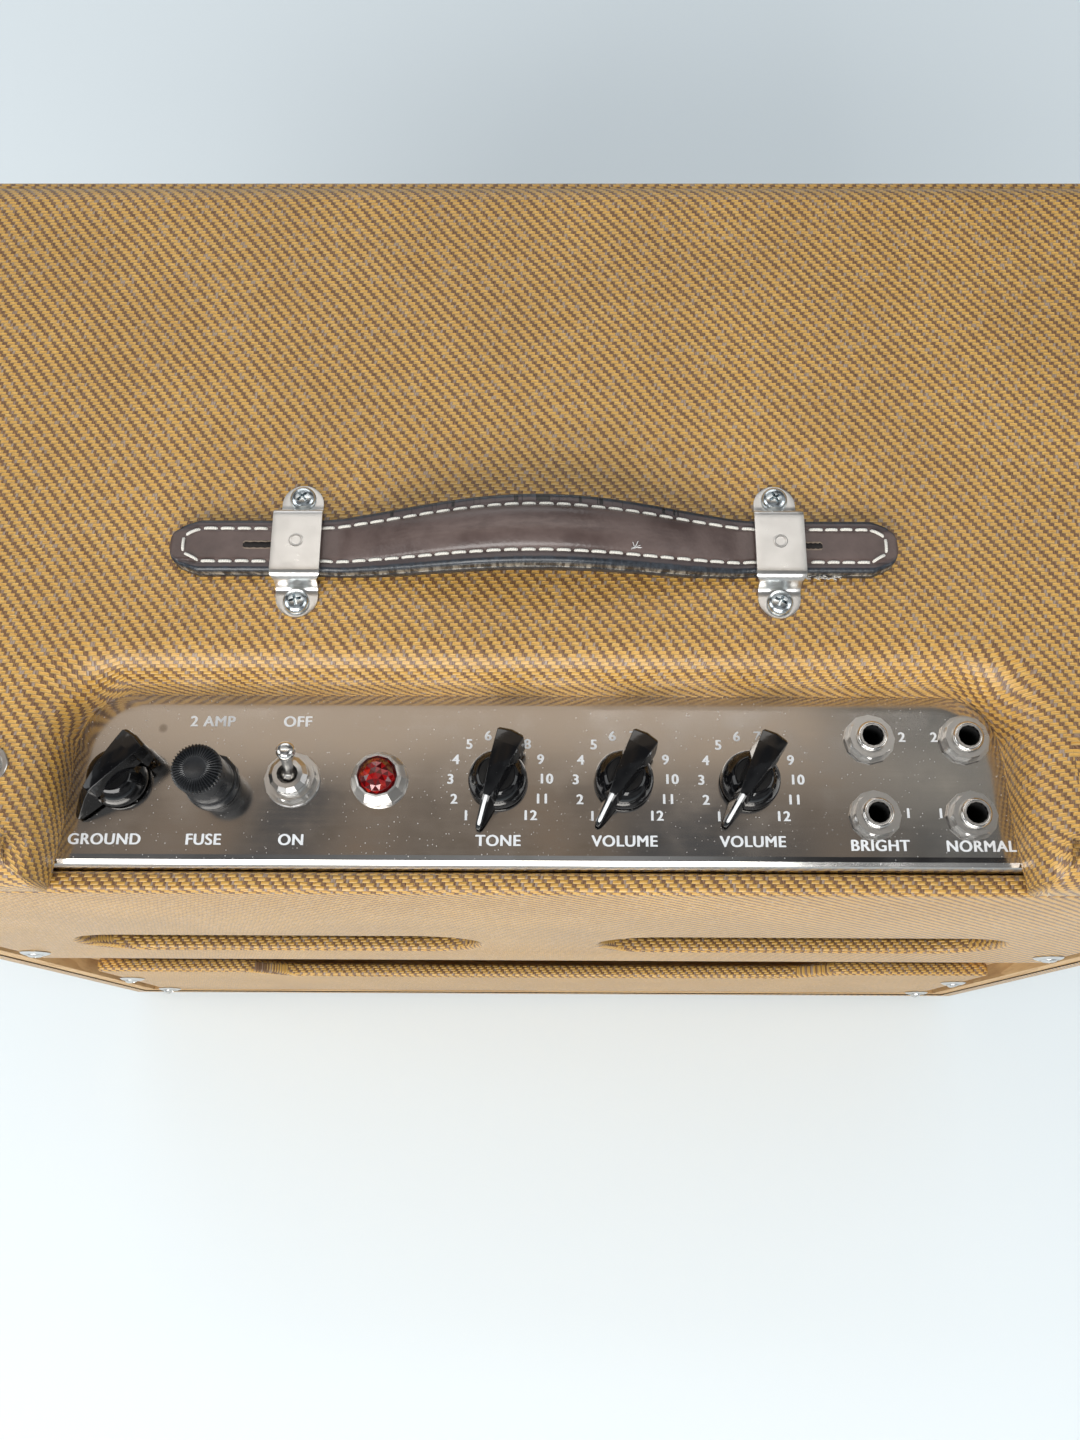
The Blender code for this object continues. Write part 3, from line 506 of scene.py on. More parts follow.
def recess_path():
    """(x, y, normal x, normal y, in a round corner, folded in) along the rear edge and round the recess."""
    front, rear = RECESS_HALF[0] - SKIN, RECESS_HALF[1] - SKIN
    radius = RECESS_R - SKIN
    right = [(x, BACK, 0, 1, False, True) for x in (PATCH_X, rear + 6 * MM)]
    for a in quarter(4):
        nx, ny = -math.sin(a), math.cos(a)
        right.append((rear + CORNER_R * (1 + nx), BACK - CORNER_R * (1 - ny), nx, ny, False, False))
    for share in (0.25, 0.36, 0.47, 0.58, 0.66):
        ease = 0.9 * MM * math.sin(math.pi * share / 0.8)
        x = rear + (front - rear) * share - ease
        right.append((x, BACK - (BACK - RECESS_FRONT) * share, -1, 0, False, False))
    middle_x, front_y = front - radius, RECESS_FRONT + SKIN
    for a in quarter(12):
        nx, ny = -math.cos(a), math.sin(a)
        right.append((middle_x - radius * nx, front_y + radius - radius * ny, nx, ny, True, False))
    right += [(x * MM, front_y, 0, 1, False, False) for x in (100, 70, 35)]
    left = [(-x, y, -nx, ny, round_corner, fold) for x, y, nx, ny, round_corner, fold in reversed(right)]
    return right + [(0.0, front_y, 0, 1, False, False)] + left


def recess_patch(first):
    """The top's cloth round the recess: rings from its flat part over the round edge and down the wall."""
    path = recess_path()
    verts, cloth = [], []
    down = DEEP - R - FOLD
    rings = [("arc", a) for a in reversed(quarter(ARC))] + [("wall", down * 0.5), ("wall", down)]
    rings += [("fold", a) for a in quarter(3)[1:]] + [("under", HEM)]
    for kind, value in rings:
        for x, y, nx, ny, round_corner, fold in path:
            corner = abs(nx) > TINY and abs(ny) > TINY and not round_corner
            near_corner = abs(x) < RECESS_HALF[1] + CORNER_R
            inward, length, z = 0.0, R * math.pi / 2, HIGH - R
            if kind == "arc":
                inward = R * (1 - math.cos(value))
                length = R * (math.pi / 2 - value)
                z = HIGH - R * (1 - math.sin(value))
            elif kind == "wall":
                z -= value
                length += value
            elif kind == "fold":
                inward = FOLD * (1 - math.cos(value)) if fold else 0
                z -= down + FOLD * (math.sin(value) if fold else 0.4 * value)
                length += down + FOLD * value
            else:
                inward = value if fold else 0
                z -= down + FOLD
                length += down + FOLD * math.pi / 2 + (value if fold else 0)
            at_rear = y > BACK - CORNER_R - TINY
            if corner or (near_corner and at_rear and not round_corner and not fold):
                side = math.copysign(1, x)
                centre = Vector((side * (RECESS_HALF[1] - SKIN + CORNER_R), BACK - CORNER_R))
                offset = Vector((x, y)) - centre
                if inward < CORNER_R:
                    spot = centre + offset * (1 - inward / CORNER_R)
                else:
                    spot = centre + Vector((side, -1)) * (inward - CORNER_R)
            else:
                spot = Vector((x - nx * inward, y - ny * inward))
            verts.append((spot.x, spot.y, z))
            flat = Vector((x - nx * R, y - ny * R))
            if round_corner:
                centre = flat + Vector((nx, ny)) * (RECESS_R - SKIN + R)
                give = 1 - 0.32 * abs(2 * nx * ny)
                reach = RECESS_R - SKIN + R - length * give
                laid = centre - Vector((nx, ny)) * reach
            else:
                laid = flat + Vector((nx, ny)) * length
            cloth.append((-laid.x / MM, laid.y / MM))
    columns = len(path)
    faces = grid_faces(len(rings), columns)
    faces.append((*range(columns), len(verts), len(verts) + 1))
    for x in (-PATCH_X, PATCH_X):
        verts.append((x, PATCH_Y, HIGH))
        cloth.append((-x / MM, PATCH_Y / MM))
    return verts, [tuple(k + first for k in face) for face in faces], cloth


verts, faces, cloth = cabinet_cover()
patch_verts, patch_faces, patch_cloth = recess_patch(len(verts))
cover = mesh_object("tweed_cover", verts + patch_verts, faces + patch_faces, cloth + patch_cloth)
keep(cover, TWEED, "cabinet", 50)


def bare(node, material):
    """A CAD node that stays, with a better material."""
    obj = nodes[node]
    obj.data.materials.clear()
    obj.data.materials.append(material)
    obj.data.polygons.foreach_set("use_smooth", [True] * len(obj.data.polygons))
    obj.data.set_sharp_from_angle(angle=math.radians(35))


for board in ("cabinet_top", "cabinet_bottom", "baffle_board"):
    bare(board, PINE)
for board in ("cabinet_side_left", "cabinet_side_right", "rear_cleat_left", "rear_cleat_right"):
    bare(board, PINE_UP)
bare("chassis", CHROME)

# ---------------------------------------------------------------- back panels and front strips


def box_cloth(obj, low, high):
    """Lays the cloth over a board: across its broad face and on over its edges."""
    layer = obj.data.uv_layers.new(name="cloth")
    for face in obj.data.polygons:
        n = face.normal
        for index in face.loop_indices:
            p = obj.data.vertices[obj.data.loops[index].vertex_index].co
            u, v = p.x, -p.z
            if abs(n.z) > 0.75:
                v = -high.z - (high.y - p.y) if n.z > 0 else -low.z + (high.y - p.y)
            elif abs(n.x) > 0.75:
                u = p.x + math.copysign(high.y - p.y, n.x)
            elif n.y < -0.3:
                u = -p.x
            layer.data[index].uv = (-u / MM, v / MM)


def rounded_outline(points, radii, steps=6):
    """A closed outline whose corners are rounded, each by its own radius."""
    result = []
    for k, (here, radius) in enumerate(zip(points, radii)):
        here = Vector(here)
        before = (Vector(points[k - 1]) - here).normalized()
        after = (Vector(points[(k + 1) % len(points)]) - here).normalized()
        half = before.angle(after) / 2
        reach = radius / math.tan(half)
        centre = here + (before + after).normalized() * (radius / math.sin(half))
        start = here + before * reach - centre
        end = here + after * reach - centre
        for step in range(steps + 1):
            result.append(centre + start.lerp(end, step / steps).normalized() * radius)
    return result


def sheet_board(name, outlines, low_y, high_y, bevel):
    """A board in the XZ plane from its outline and holes, with its edges rounded, as a mesh."""
    data = bpy.data.curves.new(name, "CURVE")
    data.dimensions = "2D"
    data.fill_mode = "BOTH"
    data.extrude = (high_y - low_y) / 2 - bevel
    data.bevel_depth = bevel
    data.bevel_resolution = 3
    data.offset = -bevel
    for outline in outlines:
        spline = data.splines.new("POLY")
        spline.points.add(len(outline) - 1)
        for point, (x, z) in zip(spline.points, outline):
            point.co = (x, z, 0, 1)
        spline.use_cyclic_u = True
    shape = object_of(name + "_shape", data)
    mesh = evaluated_mesh(shape)
    bpy.data.objects.remove(shape)
    mesh.transform(Matrix.Translation((0, (low_y + high_y) / 2, 0)) @ Matrix.Rotation(math.pi / 2, 4, "X"))
    weld(mesh)
    mesh.name = name
    return object_of(name, mesh)


def slot_outline(inner, outer, low, high, sign):
    """A slot with round ends; sign -1 mirrors it to the other side."""
    radius, steps = (high - low) / 2, 16
    points = []
    for centre, start in ((outer - radius, -math.pi / 2), (inner + radius, math.pi / 2)):
        for k in range(steps + 1):
            a = start + math.pi * k / steps
            points.append((sign * (centre + radius * math.cos(a)), (high + low) / 2 + radius * math.sin(a)))
    return points[::sign]


def covered_board(node, outlines, bevel):
    low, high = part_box(node)
    obj = sheet_board(node + "_covered", outlines, low.y, high.y, bevel)
    box_cloth(obj, low, high)
    keep(obj, TWEED, "cabinet", 50)
    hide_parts(node)


def plain_outline(low, high, radius):
    corners = [(low.x, low.z), (high.x, low.z), (high.x, high.z), (low.x, high.z)]
    return rounded_outline(corners, [radius] * 4)


BOARD_CORNER = 2 * MM
BACK_BEVEL = 2.2 * MM
FRONT_BEVEL = 3 * MM
SLOT_X = (24 * MM, 185 * MM)
SLOT_Z = (PANEL_Z - 158 * MM, PANEL_Z - 109 * MM)
DIP_HALF = 148 * MM
DIP_DEEP = 20 * MM
DIP_CORNER = 14 * MM
DIP_SAG = 2.6 * MM


def back_panels_and_strips():
    outline = plain_outline(*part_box("upper_back_panel"), BOARD_CORNER)
    slots = [slot_outline(*SLOT_X, *SLOT_Z, side) for side in (1, -1)]
    covered_board("upper_back_panel", [outline, *slots], BACK_BEVEL)

    low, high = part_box("lower_back_panel")
    dip_z = high.z - DIP_DEEP
    right = [(high.x, low.z), (high.x, high.z), (DIP_HALF, high.z), (DIP_HALF - DIP_DEEP, dip_z)]
    right.append((DIP_HALF * 0.4, dip_z - DIP_SAG))
    corners = right + [(-x, z) for x, z in reversed(right)]
    radii = [BOARD_CORNER, BOARD_CORNER, DIP_CORNER, DIP_CORNER, 80 * MM]
    covered_board("lower_back_panel", [rounded_outline(corners, radii + radii[::-1], 8)], BACK_BEVEL)

    for strip in ("front_panel_top", "front_panel_bottom"):
        covered_board(strip, [plain_outline(*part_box(strip), BOARD_CORNER)], FRONT_BEVEL)


back_panels_and_strips()

# ---------------------------------------------------------------- turned and swept pieces


def lathe(name, profile, steps=48, shape=None):
    """A mesh turned round Z from (radius, height) in mm. shape may move each point by its angle."""
    verts = []
    for radius, height in profile:
        for k in range(steps):
            a = 2 * math.pi * k / steps
            r, z = shape(radius, height, a) if shape else (radius, height)
            verts.append((r * math.cos(a) * MM, r * math.sin(a) * MM, z * MM))
    return mesh_object(name, verts, grid_faces(len(profile), steps, closed=True))


def put(obj, place, turn=0.0, tilt=None):
    obj.location = place
    obj.rotation_euler = (0, 0, turn) if tilt is None else tilt
    return obj


def spin(name, profile, steps, place, material, smooth=35, body="cabinet", tilt=None, shape=None):
    """A turned piece, put in its place and kept."""
    return keep(put(lathe(name, profile, steps, shape), place, tilt=tilt), material, body, smooth)


def hex_ring(name, across, hole, low, high):
    """A hexagon nut with its corners chamfered and a round hole, in mm."""
    chamfer_from = across * 1.03

    def shape(radius, height, angle):
        edge = across / math.cos((angle % (math.pi / 3)) - math.pi / 6)
        if radius < chamfer_from:
            return min(radius, edge), height
        drop = max(0.0, edge - chamfer_from) * 0.62
        return edge, height - (drop if height > low else 0.0)

    corner = across * 1.2
    profile = [(hole, low), (corner, low), (corner, high), (chamfer_from - 0.02, high)]
    profile += [(hole + 0.4, high), (hole, high - 0.4), (hole, low)]
    return lathe(name, profile, 72, shape)


def flat_ring(name, hole, outer, low, high):
    edge = 0.2
    profile = [(hole, low), (outer, low), (outer, high - edge), (outer - edge, high), (hole + edge, high)]
    profile += [(hole, high - edge), (hole, low)]
    return lathe(name, profile, 64)


def metal_material(name, colour, rough, brushed, marks=0.10):
    net = Net(name, Metallic=1.0)
    where = net.place()
    x, y, z = net.split(where)
    lines = net.noise(net.join(x * 40.0, y * 1500.0, z * 40.0), 1.0, 3.0, 0.6)
    cloud = net.noise(where, 160.0, 4.0, 0.6)
    dark = tuple(c * 0.78 for c in colour)
    net.set("Base Color", net.mix(net.ramp(cloud, 0.35, 0.75, 0.0, marks * 4), colour, dark))
    net.set("Roughness", net.ramp(cloud, 0.3, 0.7, rough * 0.94, rough * 1.08) + lines * brushed)
    net.bump(lines * 0.4, 0.06, 0.2 * MM)
    return net.material


NICKEL = metal_material("nickel_plate", (0.66, 0.65, 0.63), 0.27, 0.05, marks=0.03)
BRIGHT = metal_material("bright_plate", (0.76, 0.745, 0.72), 0.18, 0.03)
ZINC = metal_material("zinc_plate", (0.70, 0.76, 0.79), 0.20, 0.03)
SATIN = metal_material("satin_plate", (0.74, 0.725, 0.70), 0.33, 0.03)
STEEL = metal_material("steel", (0.50, 0.50, 0.50), 0.36, 0.10)


def plastic_material(name, colour, rough, dull_centre=False):
    """Moulded plastic. dull_centre gives a knob's flat middle a duller finish."""
    net = Net(name, Specular_IOR_Level=0.5)
    where = net.place()
    x, y, z = net.split(where)
    cloud = net.noise(where, 220.0, 4.0, 0.6)
    dust = net.ramp(net.spots(where, 900.0) - cloud * 0.10, 0.0, 0.03, 1.0, 0.0)
    net.set("Base Color", net.mix(dust * 0.08, colour, (0.35, 0.35, 0.35)))
    roughness = net.ramp(cloud, 0.35, 0.7, rough, rough * 1.6) + dust * 0.3
    if dull_centre:
        radius = (x.power(2.0) + y.power(2.0)).power(0.5)
        flat = net.ramp(radius, 5.2 * MM, 5.4 * MM, 1.0, 0.0) * net.ramp(z, 9.6 * MM, 9.8 * MM, 1.0, 0.0)
        roughness = roughness + flat * 0.35
    net.set("Roughness", roughness)
    net.bump(net.noise(where, 500.0, 2.0), 0.05, 0.2 * MM)
    return net.material


BLACK = plastic_material("black_knob", (0.0035, 0.0035, 0.004), 0.07, True)
BLACK_DULL = plastic_material("black_moulding", (0.014, 0.015, 0.017), 0.26)

# ---------------------------------------------------------------- leather handle

CLAMP = {side: middle("handle_clamp_" + side) for side in ("left", "right")}
STRAP = middle("handle_strap")
STRAP_LOW, STRAP_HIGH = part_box("handle_strap")
STRAP_W = (STRAP_HIGH.y - STRAP_LOW.y) / 2 / MM
STRAP_END = STRAP_HIGH.x / MM
STRAP_BASE = STRAP_LOW.z / MM
ROW_Y = STRAP_W - 3.4
WIDER = 2.5
UNDER_CLAMP = 6.6
SHORTER_FROM = 85
SHORTER_BY = 3


def strap_x(x):
    """The place of a station along the strap, whose end at -X is shorter."""
    reach = x + SHORTER_FROM
    return x if reach > 0 else reach * (1 - SHORTER_BY / (STRAP_END - SHORTER_FROM)) - SHORTER_FROM


def strap_rise(x):
    """Height of the strap's underside over its base, in mm."""
    return 11.0 * math.cos(math.pi / 2 * x / 63) ** 1.6 if abs(x) < 63 else 0.0


def strap_arch(x):
    """1 at the strap's middle and 0 at the clamps, in one round sweep."""
    return math.cos(math.pi / 2 * x / 66) ** 0.9 if abs(x) < 66 else 0.0


def strap_row(x):
    """Half the distance between the two rows of stitches."""
    return ROW_Y + (WIDER - 0.6) * strap_arch(x)


def strap_swell(x):
    """1 at the strap's padded middle and 0 beyond it."""
    return math.cos(math.pi / 2 * x / 58) ** 0.6 if abs(x) < 58 else 0.0


def strap_wide(x):
    """Half the strap's width, narrowing over its last stretch."""
    stretch = 9.0
    start = STRAP_END - stretch
    if abs(x) <= start:
        return STRAP_W - 0.35 + WIDER * strap_arch(x)
    share = min(1.0, (abs(x) - start) / stretch)
    return (STRAP_W - 0.35) * (1 - 0.42 * share ** 1.15) * (1 - share ** 9) ** 0.5


def strap_top(x, y):
    """Height of the leather's upper face over the floor, in mm."""
    swell = strap_swell(x)
    row = strap_row(x)
    inner = max(0.0, 1 - (abs(y) / (row - 0.3)) ** 2.4)
    groove = 0.45 * math.exp(-((abs(y) - row) / 0.55) ** 2)
    edge = max(0.0, abs(y) - (strap_wide(x) - 1.2)) / 1.2
    body = 5.3 + 1.8 * swell + 2.6 * swell * inner ** 0.8
    return STRAP_BASE + strap_rise(x) + body - groove - 0.8 * edge ** 2


def leather_material():
    net = Net("leather", Specular_IOR_Level=0.5, Coat_Weight=0.2, Coat_Roughness=0.22)
    u, v = net.uv()
    where = net.place()
    side = v.abs()
    cloud = net.noise(where, 55.0, 4.0, 0.6)
    streak = net.noise(net.join(u * 0.05, v * 2.2), 3.0, 3.0, 0.6)
    pores = net.spots(where, 900.0)
    grain = net.noise(where, 700.0, 3.0, 0.7)
    brown = net.mix(net.ramp(cloud, 0.3, 0.7), (0.066, 0.042, 0.037), (0.122, 0.083, 0.073))
    ridge = net.ramp(side, 0.0, 0.45, 1.0, 0.0) * net.ramp(u.abs(), 30.0, 55.0, 1.0, 0.0)
    brown = net.mix(ridge * net.ramp(streak, 0.35, 0.7) * 0.55, brown, (0.15, 0.105, 0.092))
    margin = net.ramp(side, 0.66, 0.8)
    brown = net.mix(margin * 0.6, brown, (0.050, 0.042, 0.046))
    rubbed = net.noise(net.join(u * 0.6, v * 3.0, side), 1.0, 5.0, 0.7)
    paint = net.mix(net.ramp(rubbed, 0.35, 0.7), (0.010, 0.013, 0.018), (0.034, 0.042, 0.054))
    rim = net.ramp(side + rubbed * 0.10, 0.90, 0.97)
    colour = net.mix(rim, brown, paint)
    line = net.ramp((side - 1.12).abs(), 0.02, 0.09, 1.0, 0.0) * net.ramp(rubbed, 0.44, 0.62)
    colour = net.mix(line * 0.8, colour, (0.40, 0.36, 0.29))
    chips = net.ramp(net.noise(net.join(u * 1.3, v * 4.0), 1.0, 5.0, 0.75), 0.60, 0.70) * net.ramp(side, 0.95, 1.1)
    colour = net.mix(chips * 0.8, colour, (0.42, 0.38, 0.31))
    crack_line = net.ramp((net.noise(net.join(u * 0.16, 0.0), 1.0, 1.0) - 0.5).abs(), 0.001, 0.006, 1.0, 0.0)
    crack = crack_line * net.ramp(v, -0.80, -0.72, 1.0, 0.0) * net.ramp(u.abs(), 40.0, 60.0, 1.0, 0.0)
    colour = net.mix(crack, colour, (0.008, 0.008, 0.008))
    net.set("Base Color", colour)
    net.set("Roughness", net.ramp(cloud, 0.3, 0.7, 0.27, 0.42) + chips * 0.3)
    net.bump(grain * 0.25 + pores * 0.35 + cloud * 0.6 + crack * -1.5 + chips * 0.3, 0.4, 0.35 * MM)
    return net.material


def thread_material(name="thread", colour=(0.78, 0.74, 0.66)):
    net = Net(name, Roughness=0.8, Sheen_Weight=0.3)
    u, v = net.uv()
    twist = net.node("ShaderNodeMath", {0: (u * 2.2 + v * 1.0) * 6.283}, operation="SINE")
    fuzz = net.noise(net.place(), 1500.0, 2.0)
    dark = tuple(c * 0.62 for c in colour)
    # Painted shade: the thread is darker in the grooves of its twist
    net.set("Base Color", net.mix(net.ramp(twist, -1.0, 0.4, 0.75, 0.0), colour, dark))
    net.bump(twist * 0.5 + fuzz * 0.5, 0.6, 0.15 * MM)
    return net.material


LEATHER = leather_material()
THREAD = thread_material()


def strap():
    straight = STRAP_END - 10
    ends = np.linspace(straight, STRAP_END, 22)
    stations = np.concatenate([-ends[::-1], np.linspace(-straight, straight, 150), ends])
    margin = np.linspace(0.72, 1, 7)
    top_shares = np.concatenate([-margin[::-1], np.linspace(-0.7, 0.7, 33), margin])
    verts, cloth = [], []
    for x in sorted(set(np.round(stations, 4))):
        wide = max(0.25, strap_wide(x))
        base = STRAP_BASE + strap_rise(x)
        ring = []
        for share in top_shares:
            y = share * (wide - 0.25)
            ring.append((y, strap_top(x, y) if wide > 4 else min(strap_top(x, y), base + 5.2), share))
        edge_high = ring[-1][1]
        tall = edge_high - base
        edge = [(0.35, 0.0, 1.04), (0.42 * tall, 0.04, 1.1), (0.48 * tall, -0.22, 1.12)]
        edge += [(0.54 * tall, 0.04, 1.16), (tall - 0.5, 0.0, 1.5), (tall, -0.5, 2.0)]
        right = [(wide + out, edge_high - drop, mark) for drop, out, mark in edge]
        ring += right + [(0.0, base, 3.0)] + [(-y, z, -mark) for y, z, mark in reversed(right)]
        verts += [(strap_x(x) * MM, STRAP.y + y * MM, z * MM) for y, z, mark in ring]
        cloth += [(x, mark) for y, z, mark in ring]
    size = len(ring)
    faces = grid_faces(len(verts) // size, size, closed=True)
    faces += [tuple(range(size)), tuple(range(len(verts) - size, len(verts)))[::-1]]
    obj = mesh_object("handle_leather", verts, faces, cloth)
    keep(obj, LEATHER, "cabinet", 50)
    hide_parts("handle_strap")


def tube_mesh(name, runs, radius, sides=8):
    """One mesh of round runs with closed ends, each a list of points in metres. cloth = (mm along, turns)."""
    verts, faces, cloth = [], [], []
    for run in runs:
        points = [Vector(p) for p in run]
        first = len(verts)
        travelled = 0.0
        up = Vector((0, 0, 1))
        for k, point in enumerate(points):
            ahead = (points[min(k + 1, len(points) - 1)] - points[max(k - 1, 0)]).normalized()
            if abs(ahead.dot(up)) > 0.95:
                up = Vector((1, 0, 0))
            across = ahead.cross(up).normalized()
            over = across.cross(ahead)
            if k:
                travelled += (point - points[k - 1]).length / MM
            thick = radius * (0.62 if k in (0, len(points) - 1) and len(points) < 9 else 1.0)
            for j in range(sides):
                a = 2 * math.pi * j / sides
                verts.append(point + (across * math.cos(a) + over * math.sin(a)) * thick)
                cloth.append((travelled, j / sides))
        faces += [tuple(first + i for i in f) for f in grid_faces(len(points), sides, closed=True)]
        faces.append(tuple(first + j for j in range(sides)))
        faces.append(tuple(len(verts) - 1 - j for j in range(sides)))
    return mesh_object(name, verts, faces, cloth)


def stitches():
    end = STRAP_END - 4.4
    turn_x = end - 5.2
    path = [(x, -strap_row(x)) for x in np.linspace(-turn_x, turn_x, 41)]
    path += [(end, -2.7), (end, 2.7)]
    path += [(x, strap_row(x)) for x in np.linspace(turn_x, -turn_x, 41)]
    path += [(-end, 2.7), (-end, -2.7)]
    runs = []
    for start, stop in zip(path, path[1:] + path[:1]):
        centre = (start[0] + stop[0]) / 2
        if any(abs(centre - c.x / MM) < UNDER_CLAMP for c in CLAMP.values()):
            continue
        gap = 0.09 + 0.03 * rng.random()
        sway = 0.12 * (rng.random() - 0.5)
        run = []
        lifts = [(gap, -0.35), (gap + 0.07, 0.22), (0.35, 0.42), (0.65, 0.42), (0.93 - gap, 0.22), (1 - gap, -0.35)]
        for share, lift in lifts:
            x = start[0] + (stop[0] - start[0]) * share
            y = start[1] + (stop[1] - start[1]) * share + sway
            run.append((strap_x(x) * MM, STRAP.y + y * MM, (strap_top(x, y) + lift) * MM))
        runs.append(run)
    keep(tube_mesh("handle_stitching", runs, 0.46 * MM, 10), THREAD, "cabinet", 60)


def strap_slits():
    """The worn slot beside each clamp, where the strap slides."""
    shadow = Net("slot_shadow", Roughness=0.9, Base_Color=(0.012, 0.009, 0.008))
    torn = Net("raw_leather", Roughness=0.85).speckle(800.0, 3.0, (0.10, 0.06, 0.045), (0.30, 0.24, 0.18))
    count = 14
    for side, sign, far in (("right", 1, 9.5), ("left", -1, 6.0)):
        start = CLAMP[side].x / MM + sign * 6.9
        verts, rim = [], []
        for k in range(count + 1):
            x = start + sign * far * k / count
            half = 0.95 if k < count else 0.5
            wobble = 0.12 * math.sin(k * 1.9) + 0.1
            low, high = wobble - half, wobble + half
            for y, lift in ((-half - 0.45, 0.02), (low, 0.14), (high, 0.14), (half + 0.5, 0.02)):
                rim.append((x * MM, STRAP.y + y * MM, (strap_top(x, y) + lift) * MM))
            for y in (low, high):
                verts.append((x * MM, STRAP.y + y * MM, (strap_top(x, y) + 0.04) * MM))
        slit = mesh_object("handle_slit_" + side, verts, grid_faces(count + 1, 2))
        thicken(slit, 0.3)
        keep(slit, shadow.material, "cabinet")
        edge = mesh_object("handle_torn_" + side, rim, grid_faces(count + 1, 4, skip=lambda i, j: j == 1))
        thicken(edge, 0.2)
        keep(edge, torn, "cabinet", 60)


strap()
stitches()
strap_slits()


def clamp(side):
    """A bent plate over the strap, with a round ear at each end and a punched mark on its bridge."""
    centre = CLAMP[side]
    flat, bridge, ear, ear_at = 1.4, 7.85, 6.35, 15.4
    bend = [(21.75, flat), (19, flat), (16.5, flat), (14.6, 1.42), (13.5, 1.6), (12.7, 2.2), (12.2, 3.2)]
    bend += [(11.9, 4.4), (11.5, 5.7), (10.9, 6.8), (10.2, 7.5), (9.3, 7.8), (8.4, bridge), (6, bridge), (3, bridge)]
    fine = []
    for near, far in zip(bend, bend[1:]):
        fine += [tuple(Vector(near).lerp(Vector(far), share)) for share in (0, 0.34, 0.67)]
    path = [(21.72, flat), (21.5, flat), (21.2, flat)] + fine[1:]
    path += [(0, bridge)] + [(-y, z) for y, z in reversed(path)]
    verts = []
    columns = 9
    for y, z in path:
        reach = abs(y)
        half = 7.4 - 1.05 * min(1.0, max(0.0, reach - 10.6))
        if reach > ear_at:
            half = math.sqrt(max(0.01, ear ** 2 - (reach - ear_at) ** 2))
        for k in range(columns):
            x = half * (2 * k / (columns - 1) - 1)
            verts.append((centre.x + x * MM, centre.y + y * MM, TOP_Z + (z + 0.1) * MM))
    obj = mesh_object("clamp_plate_" + side, verts, grid_faces(len(path), columns))
    if obj.data.polygons[0].normal.z < 0:
        obj.data.flip_normals()
    thicken(obj, 1.1)
    round_edges(obj, 0.3, 3, 55)
    keep(obj, NICKEL, "cabinet", 50)
    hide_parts("handle_clamp_" + side)
    dimple = [(1.4, -0.1), (1.45, 0.0), (1.75, 0.07), (1.95, 0.07), (2.15, 0.0), (2.2, -0.1)]
    place = (centre.x, centre.y - 0.4 * MM, TOP_Z + (bridge + 0.12) * MM)
    spin("clamp_mark_" + side, dimple, 40, place, NICKEL)


def cross_screw():
    """A pan head with a cross recess, 8 mm across."""
    profile = [(0, -1.0), (3.9, -1.0), (4.0, 0.0), (4.0, 0.5), (3.85, 1.1), (3.4, 1.75)]
    profile += [(2.7, 2.2), (1.8, 2.45), (0.9, 2.52), (0, 2.55)]
    head = lathe("screw_template", profile, 48)
    long, wide = 2.15, 0.5
    cross = []
    for x, y in ((1, 1), (1, -1), (-1, -1), (-1, 1)):
        arm = [(x * wide, y * long), (x * wide, y * wide), (x * long, y * wide)]
        cross += arm if x * y > 0 else arm[::-1]
    verts = [(x * size * MM, y * size * MM, z * MM) for size, z in ((1, 3), (0.45, 0.7)) for x, y in cross]
    faces = grid_faces(2, 12, closed=True) + [tuple(range(12)), tuple(range(23, 11, -1))]
    tool = mesh_object("screw_cross", verts, faces)
    modifier(head, "BOOLEAN", operation="DIFFERENCE", object=tool, solver="EXACT")
    mesh = evaluated_mesh(head)
    mesh.name = "cross_screw"
    bpy.data.objects.remove(head)
    bpy.data.objects.remove(tool)
    return mesh


SCREW = cross_screw()


def screw(name, place, material, turn=0.4, tilt=None, size=1.0, stands_for=None):
    obj = put(object_of(name, SCREW.copy()), place, turn, tilt)
    obj.scale = (size, size, size)
    round_edges(obj, 0.1, 2, 40)
    keep(obj, material, "cabinet")
    if stands_for:
        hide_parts(stands_for)


TURNS = {"left": {"front": 0.5, "rear": 1.1}, "right": {"front": 0.75, "rear": 0.25}}
for side, ends in TURNS.items():
    clamp(side)
    for end, angle in ends.items():
        node = f"handle_screw_{side}_{end}"
        spot = middle(node)
        screw(f"screw_{side}_{end}", (spot.x, spot.y, TOP_Z + 1.5 * MM), ZINC, angle, stands_for=node)

# ---------------------------------------------------------------- knobs

# Each knob's joint, and where it points at rest, in degrees from +X
CONTROLS = {
    "ground_knob": ("ground_knob_turn", 49.3),
    "knob_tone": ("tone_turn", 69.5),
    "knob_volume_1": ("volume_1_turn", 60.0),
    "knob_volume_2": ("volume_2_turn", 60.0),
}
BODY_OF = {j["name"]: j["child"] for j in frame["joints"]}


def knob_base():
    """The knob's shaft, the hollow round it, the skirt and the dome."""
    profile = [(0, -6), (3.1, -6), (3.1, 6.3), (7.3, 6.3), (7.3, 1.0), (8.6, 1.0), (8.85, 1.05), (9.0, 1.3)]
    profile += [(9.0, 2.2), (8.95, 3.2), (8.75, 4.4), (8.35, 5.6), (7.75, 6.8), (7.0, 7.9), (6.2, 8.7)]
    profile += [(5.7, 9.05), (5.45, 9.15), (5.3, 9.08), (5.2, 9.05), (0, 9.05)]
    return lathe("knob_base", profile, 96)


